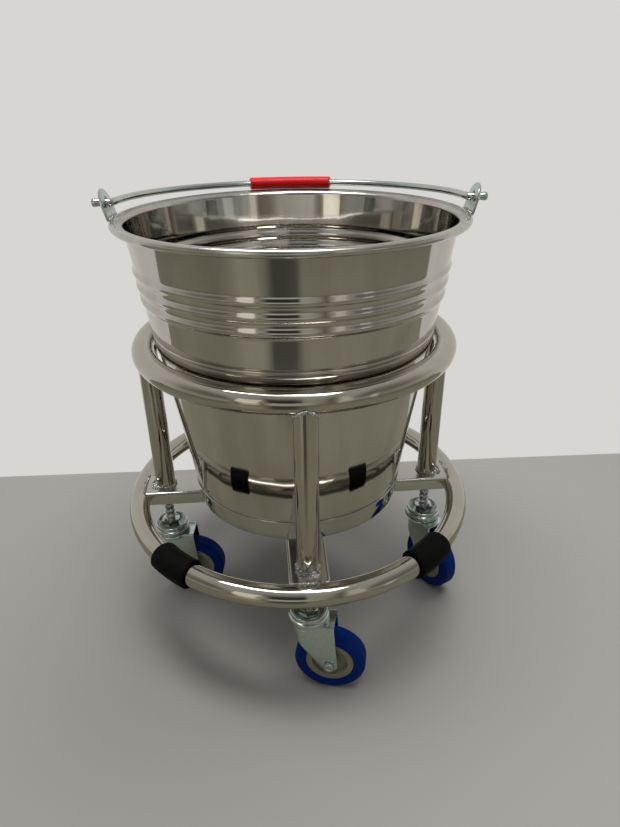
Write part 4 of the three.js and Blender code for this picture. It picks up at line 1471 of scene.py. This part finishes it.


# Floor: a plain pale surface under the object that fades out around it and isn't there from below.
# The steel sees more of it, with painted light and shade: darker and warmer all over, a painted
# shadow strip straight in front, painted light in a pale strip beside it, and behind the object the glow
# of the wall.
FLOOR_R = 3.0
FLOOR_SIDES = 48
FLOOR_FADE = (2.1, 0.9)
EYE_FADE = (0.95, 0.35)
FLOOR_COLOUR = (0.345, 0.335, 0.312, 1.0)
# Painted shade: the floor's colour as the steel mirrors it, darker and warmer than the floor itself.
FLOOR_MIRRORED = (0.250, 0.240, 0.188, 1.0)
# Painted light and shade in front, by direction: a painted shadow strip (0.36 to 0.48), pale painted
# light beside it.
FLOOR_STRIPS = [
    (0.00, (0.230, 0.220, 0.172)), (0.13, (0.230, 0.220, 0.172)), (0.20, (0.370, 0.360, 0.290)),
    (0.30, (0.330, 0.320, 0.255)), (0.36, (0.075, 0.071, 0.058)), (0.48, (0.080, 0.075, 0.060)),
    (0.52, (0.235, 0.225, 0.178)), (0.70, (0.270, 0.260, 0.208)), (1.00, (0.235, 0.225, 0.175)),
]
STRIPS_FROM = (0.42, 0.12)
WALL_Y = 0.2277
WALL_SLOPE = 0.0275
WALL_EDGE = 0.002
WALL_MIRRORED = (0.62, 0.605, 0.575, 1.0)


def stage_sheet(name, points):
    """One flat face of the stage with a new material: the object, its bench and its coordinates."""
    mesh = bpy.data.meshes.new(name)
    mesh.from_pydata(points, [], [tuple(range(len(points)))])
    thing = bpy.data.objects.new(name, mesh)
    scene.collection.objects.link(thing)
    material, bench, place = blank(name)
    material.cycles.emission_sampling = "NONE"
    mesh.materials.append(material)
    return thing, bench, place


def one_sided(bench, surface):
    """Ends a stage material: the surface from its front, and nothing from its back."""
    clear = bench.node("ShaderNodeBsdfTransparent")
    back = bench.node("ShaderNodeNewGeometry", out="Backfacing")
    shown = bench.node("ShaderNodeMixShader", None, {0: back, 1: surface, 2: clear})
    bench.node("ShaderNodeOutputMaterial", None, {"Surface": shown})


def mirror_rays(ray):
    """1 for what the steel mirrors, and 0 for light that falls on through a matt surface."""
    shiny = ray.part("Is Glossy Ray") + ray.part("Is Transmission Ray")
    return shiny * (1.0 - ray.part("Diffuse Depth"))


floor_ring = arc((0.0, 0.0), FLOOR_R, 0.0, 360.0, FLOOR_SIDES)[:-1]
_, bench, place = stage_sheet("pale_floor", [(x, y, 0.0) for x, y in floor_ring])
ray = bench.node("ShaderNodeLightPath", out="Is Camera Ray")
mirrored = mirror_rays(ray)
fleck = noise(bench, place, scale=40.0, detail=3.0)
apart = bench.node("ShaderNodeVectorMath", {"operation": "LENGTH"}, {0: place}, out="Value")
spot = bench.node("ShaderNodeSeparateXYZ", None, {0: place})
aside = 0.5 + 0.5 * spot.part("X") / apart
strips = bench.node("ShaderNodeValToRGB", {"stops": FLOOR_STRIPS}, {0: aside})
in_front = above(bench, spot.part("Y") * -1.0, *STRIPS_FROM)
# In front, the steel mirrors the floor with these painted shadow and light strips.
uneven = between(bench, in_front, FLOOR_MIRRORED, strips)
matt = bench.node(
    "ShaderNodeBsdfPrincipled",
    None,
    {
        "Base Color": between(bench, mirrored, FLOOR_COLOUR, uneven),
        "Roughness": 0.55 + fleck * 0.1,
        "Specular IOR Level": 0.2,
    },
)
glow = bench.node("ShaderNodeEmission", None, {"Color": WALL_MIRRORED, "Strength": 1.0})
depth = spot.part("Y") + spot.part("X") * WALL_SLOPE
backdrop = above(bench, depth, WALL_Y, WALL_EDGE) * mirrored
surface = bench.node("ShaderNodeMixShader", None, {0: backdrop, 1: matt, 2: glow})
fade = above(bench, apart, *EYE_FADE) * ray + above(bench, apart, *FLOOR_FADE) * (1.0 - ray)
nothing = bench.node("ShaderNodeBsdfTransparent")
one_sided(bench, bench.node("ShaderNodeMixShader", None, {0: fade, 1: surface, 2: nothing}))


# Wall: plain, pale and evenly lit, a little way behind the object. Only the eye sees it, and only
# from in front, so that it takes no light from the object.
WALL_HALF = 3.0
WALL_HEIGHT = 4.0
WALL_PALE = (0.68, 0.67, 0.65, 1.0)
left_end = (-WALL_HALF, WALL_Y + WALL_HALF * WALL_SLOPE)
right_end = (WALL_HALF, WALL_Y - WALL_HALF * WALL_SLOPE)
wall_corners = [(*left_end, 0.0), (*right_end, 0.0), (*right_end, WALL_HEIGHT), (*left_end, WALL_HEIGHT)]
wall, bench, _ = stage_sheet("pale_wall", wall_corners)
wall.visible_diffuse = False
wall.visible_glossy = False
wall.visible_transmission = False
wall.visible_shadow = False
one_sided(bench, bench.node("ShaderNodeEmission", None, {"Color": WALL_PALE, "Strength": 1.0}))


# Light: a soft dome, brighter above, soft lamps overhead and two weak windows. The eye sees the wall
# all round. The steel sees that wall behind, a ceiling above, and in front a dimmer room in strips.
STUDIO_HIGH = (0.77, 0.77, 0.757, 1.0)
STUDIO_LOW = (0.02, 0.02, 0.018, 1.0)
CEILING = (0.45, 0.45, 0.44, 1.0)
ROOM_LOW = [
    (0.00, (0.34, 0.33, 0.30)), (0.13, (0.32, 0.31, 0.28)), (0.17, (0.24, 0.20, 0.15)),
    (0.20, (0.66, 0.59, 0.45)), (0.26, (0.70, 0.64, 0.50)), (0.29, (0.20, 0.18, 0.14)),
    (0.34, (0.50, 0.49, 0.45)), (0.55, (0.42, 0.41, 0.37)), (0.61, (0.28, 0.26, 0.22)),
    (0.67, (0.16, 0.14, 0.12)), (0.71, (0.54, 0.48, 0.42)), (0.75, (0.48, 0.43, 0.38)),
    (0.80, (0.30, 0.30, 0.29)), (0.85, (0.32, 0.32, 0.31)), (0.86, (0.55, 0.55, 0.54)),
    (0.89, (0.55, 0.55, 0.54)), (0.90, (0.27, 0.27, 0.26)), (1.00, (0.36, 0.35, 0.33)),
]
ROOM_HIGH = [
    (0.00, (0.22, 0.21, 0.18)), (0.13, (0.17, 0.16, 0.13)), (0.20, (0.42, 0.41, 0.37)),
    (0.30, (0.36, 0.35, 0.31)), (0.34, (0.04, 0.038, 0.03)), (0.49, (0.045, 0.042, 0.035)),
    (0.515, (0.37, 0.36, 0.32)), (0.61, (0.33, 0.32, 0.28)), (0.66, (0.16, 0.15, 0.12)),
    (0.71, (0.46, 0.42, 0.37)), (0.76, (0.40, 0.37, 0.33)), (0.81, (0.18, 0.17, 0.14)),
    (1.00, (0.22, 0.21, 0.18)),
]
ROOM_HIGH_FROM = (0.22, 0.08)
WALL_FROM = (0.05, 0.35)
CEILING_FROM = (0.75, 0.3)
STUDIO_CURVE = 2.0
LAMPS = {
    "overhead": ((-0.10, -0.15, 1.5), (0.0, 0.0, 0.1), (1.1, 0.35), 11.0),
    "behind": ((0.45, 0.40, 1.6), (0.0, 0.0, 0.1), (1.2, 0.8), 10.5),
    "window_left": ((-1.14, -1.65, 1.0), (0.0, 0.0, 0.25), (0.5, 1.0), 0.8),
    "window_right": ((1.0, -1.8, 1.0), (0.0, 0.0, 0.25), (0.25, 1.2), 0.16),
}
world = bpy.data.worlds.new("studio")
scene.world = world
world.use_nodes = True
world.node_tree.nodes.clear()
sky = Bench(world.node_tree)
way = sky.node("ShaderNodeTexCoord", out="Generated")
parts = sky.node("ShaderNodeSeparateXYZ", None, {0: way})
behind = above(sky, parts.part("Y"), *WALL_FROM)
upward = above(sky, parts.part("Z"), *CEILING_FROM)
aside = 0.5 + 0.5 * parts.part("X")
low = sky.node("ShaderNodeValToRGB", {"stops": ROOM_LOW}, {0: aside})
high = sky.node("ShaderNodeValToRGB", {"stops": ROOM_HIGH}, {0: aside})
upper = above(sky, parts.part("Z"), *ROOM_HIGH_FROM)
walls = between(sky, behind, between(sky, upper, low, high), WALL_MIRRORED)
room = between(sky, upward, walls, CEILING)
ray = sky.node("ShaderNodeLightPath", out="Is Camera Ray")
studio = between(sky, parts.part("Z") ** STUDIO_CURVE, STUDIO_LOW, STUDIO_HIGH)
around = between(sky, mirror_rays(ray), between(sky, ray, studio, WALL_PALE), room)
dome = sky.node("ShaderNodeBackground", None, {"Color": around})
sky.node("ShaderNodeOutputWorld", None, {"Surface": dome})
for name, (spot, aim, size, power) in LAMPS.items():
    lamp = bpy.data.lights.new(name, "AREA")
    lamp.shape = "RECTANGLE"
    lamp.size, lamp.size_y = size
    lamp.energy = power
    holder = bpy.data.objects.new(name, lamp)
    holder.location = spot
    holder.rotation_mode = "QUATERNION"
    holder.rotation_quaternion = (Vector(aim) - Vector(spot)).to_track_quat("-Z", "Y")
    holder.visible_glossy = name != "behind"
    holder.visible_camera = False
    scene.collection.objects.link(holder)
scene.view_settings.view_transform = "Standard"


# Camera: at the photograph's viewing angle, a little above the rim and looking down, close to
# the object with a wide lens, and rolled a little as a camera held by hand is.
CAMERA_SPOT = (-0.02457, -0.50539, 0.47313)
CAMERA_PITCH = 27.811
CAMERA_YAW = 4.257
CAMERA_ROLL = -0.717
SENSOR = 36.0
LENS = 25.745
pitch = math.radians(CAMERA_PITCH)
yaw = math.radians(CAMERA_YAW)
roll = math.radians(CAMERA_ROLL)
ahead = Vector((math.sin(yaw) * math.cos(pitch), math.cos(yaw) * math.cos(pitch), -math.sin(pitch)))
level = Vector((math.cos(yaw), -math.sin(yaw), 0.0))
upright = level.cross(ahead)
camera_x = level * math.cos(roll) + upright * math.sin(roll)
camera_y = upright * math.cos(roll) - level * math.sin(roll)
camera_data = bpy.data.cameras.new("camera")
camera_data.sensor_fit = "VERTICAL"
camera_data.sensor_height = SENSOR
camera_data.sensor_width = SENSOR
camera_data.lens = LENS
camera = bpy.data.objects.new("camera", camera_data)
axes = Matrix((camera_x, camera_y, -ahead)).transposed().to_4x4()
camera.matrix_world = Matrix.Translation(CAMERA_SPOT) @ axes
scene.collection.objects.link(camera)
scene.camera = camera
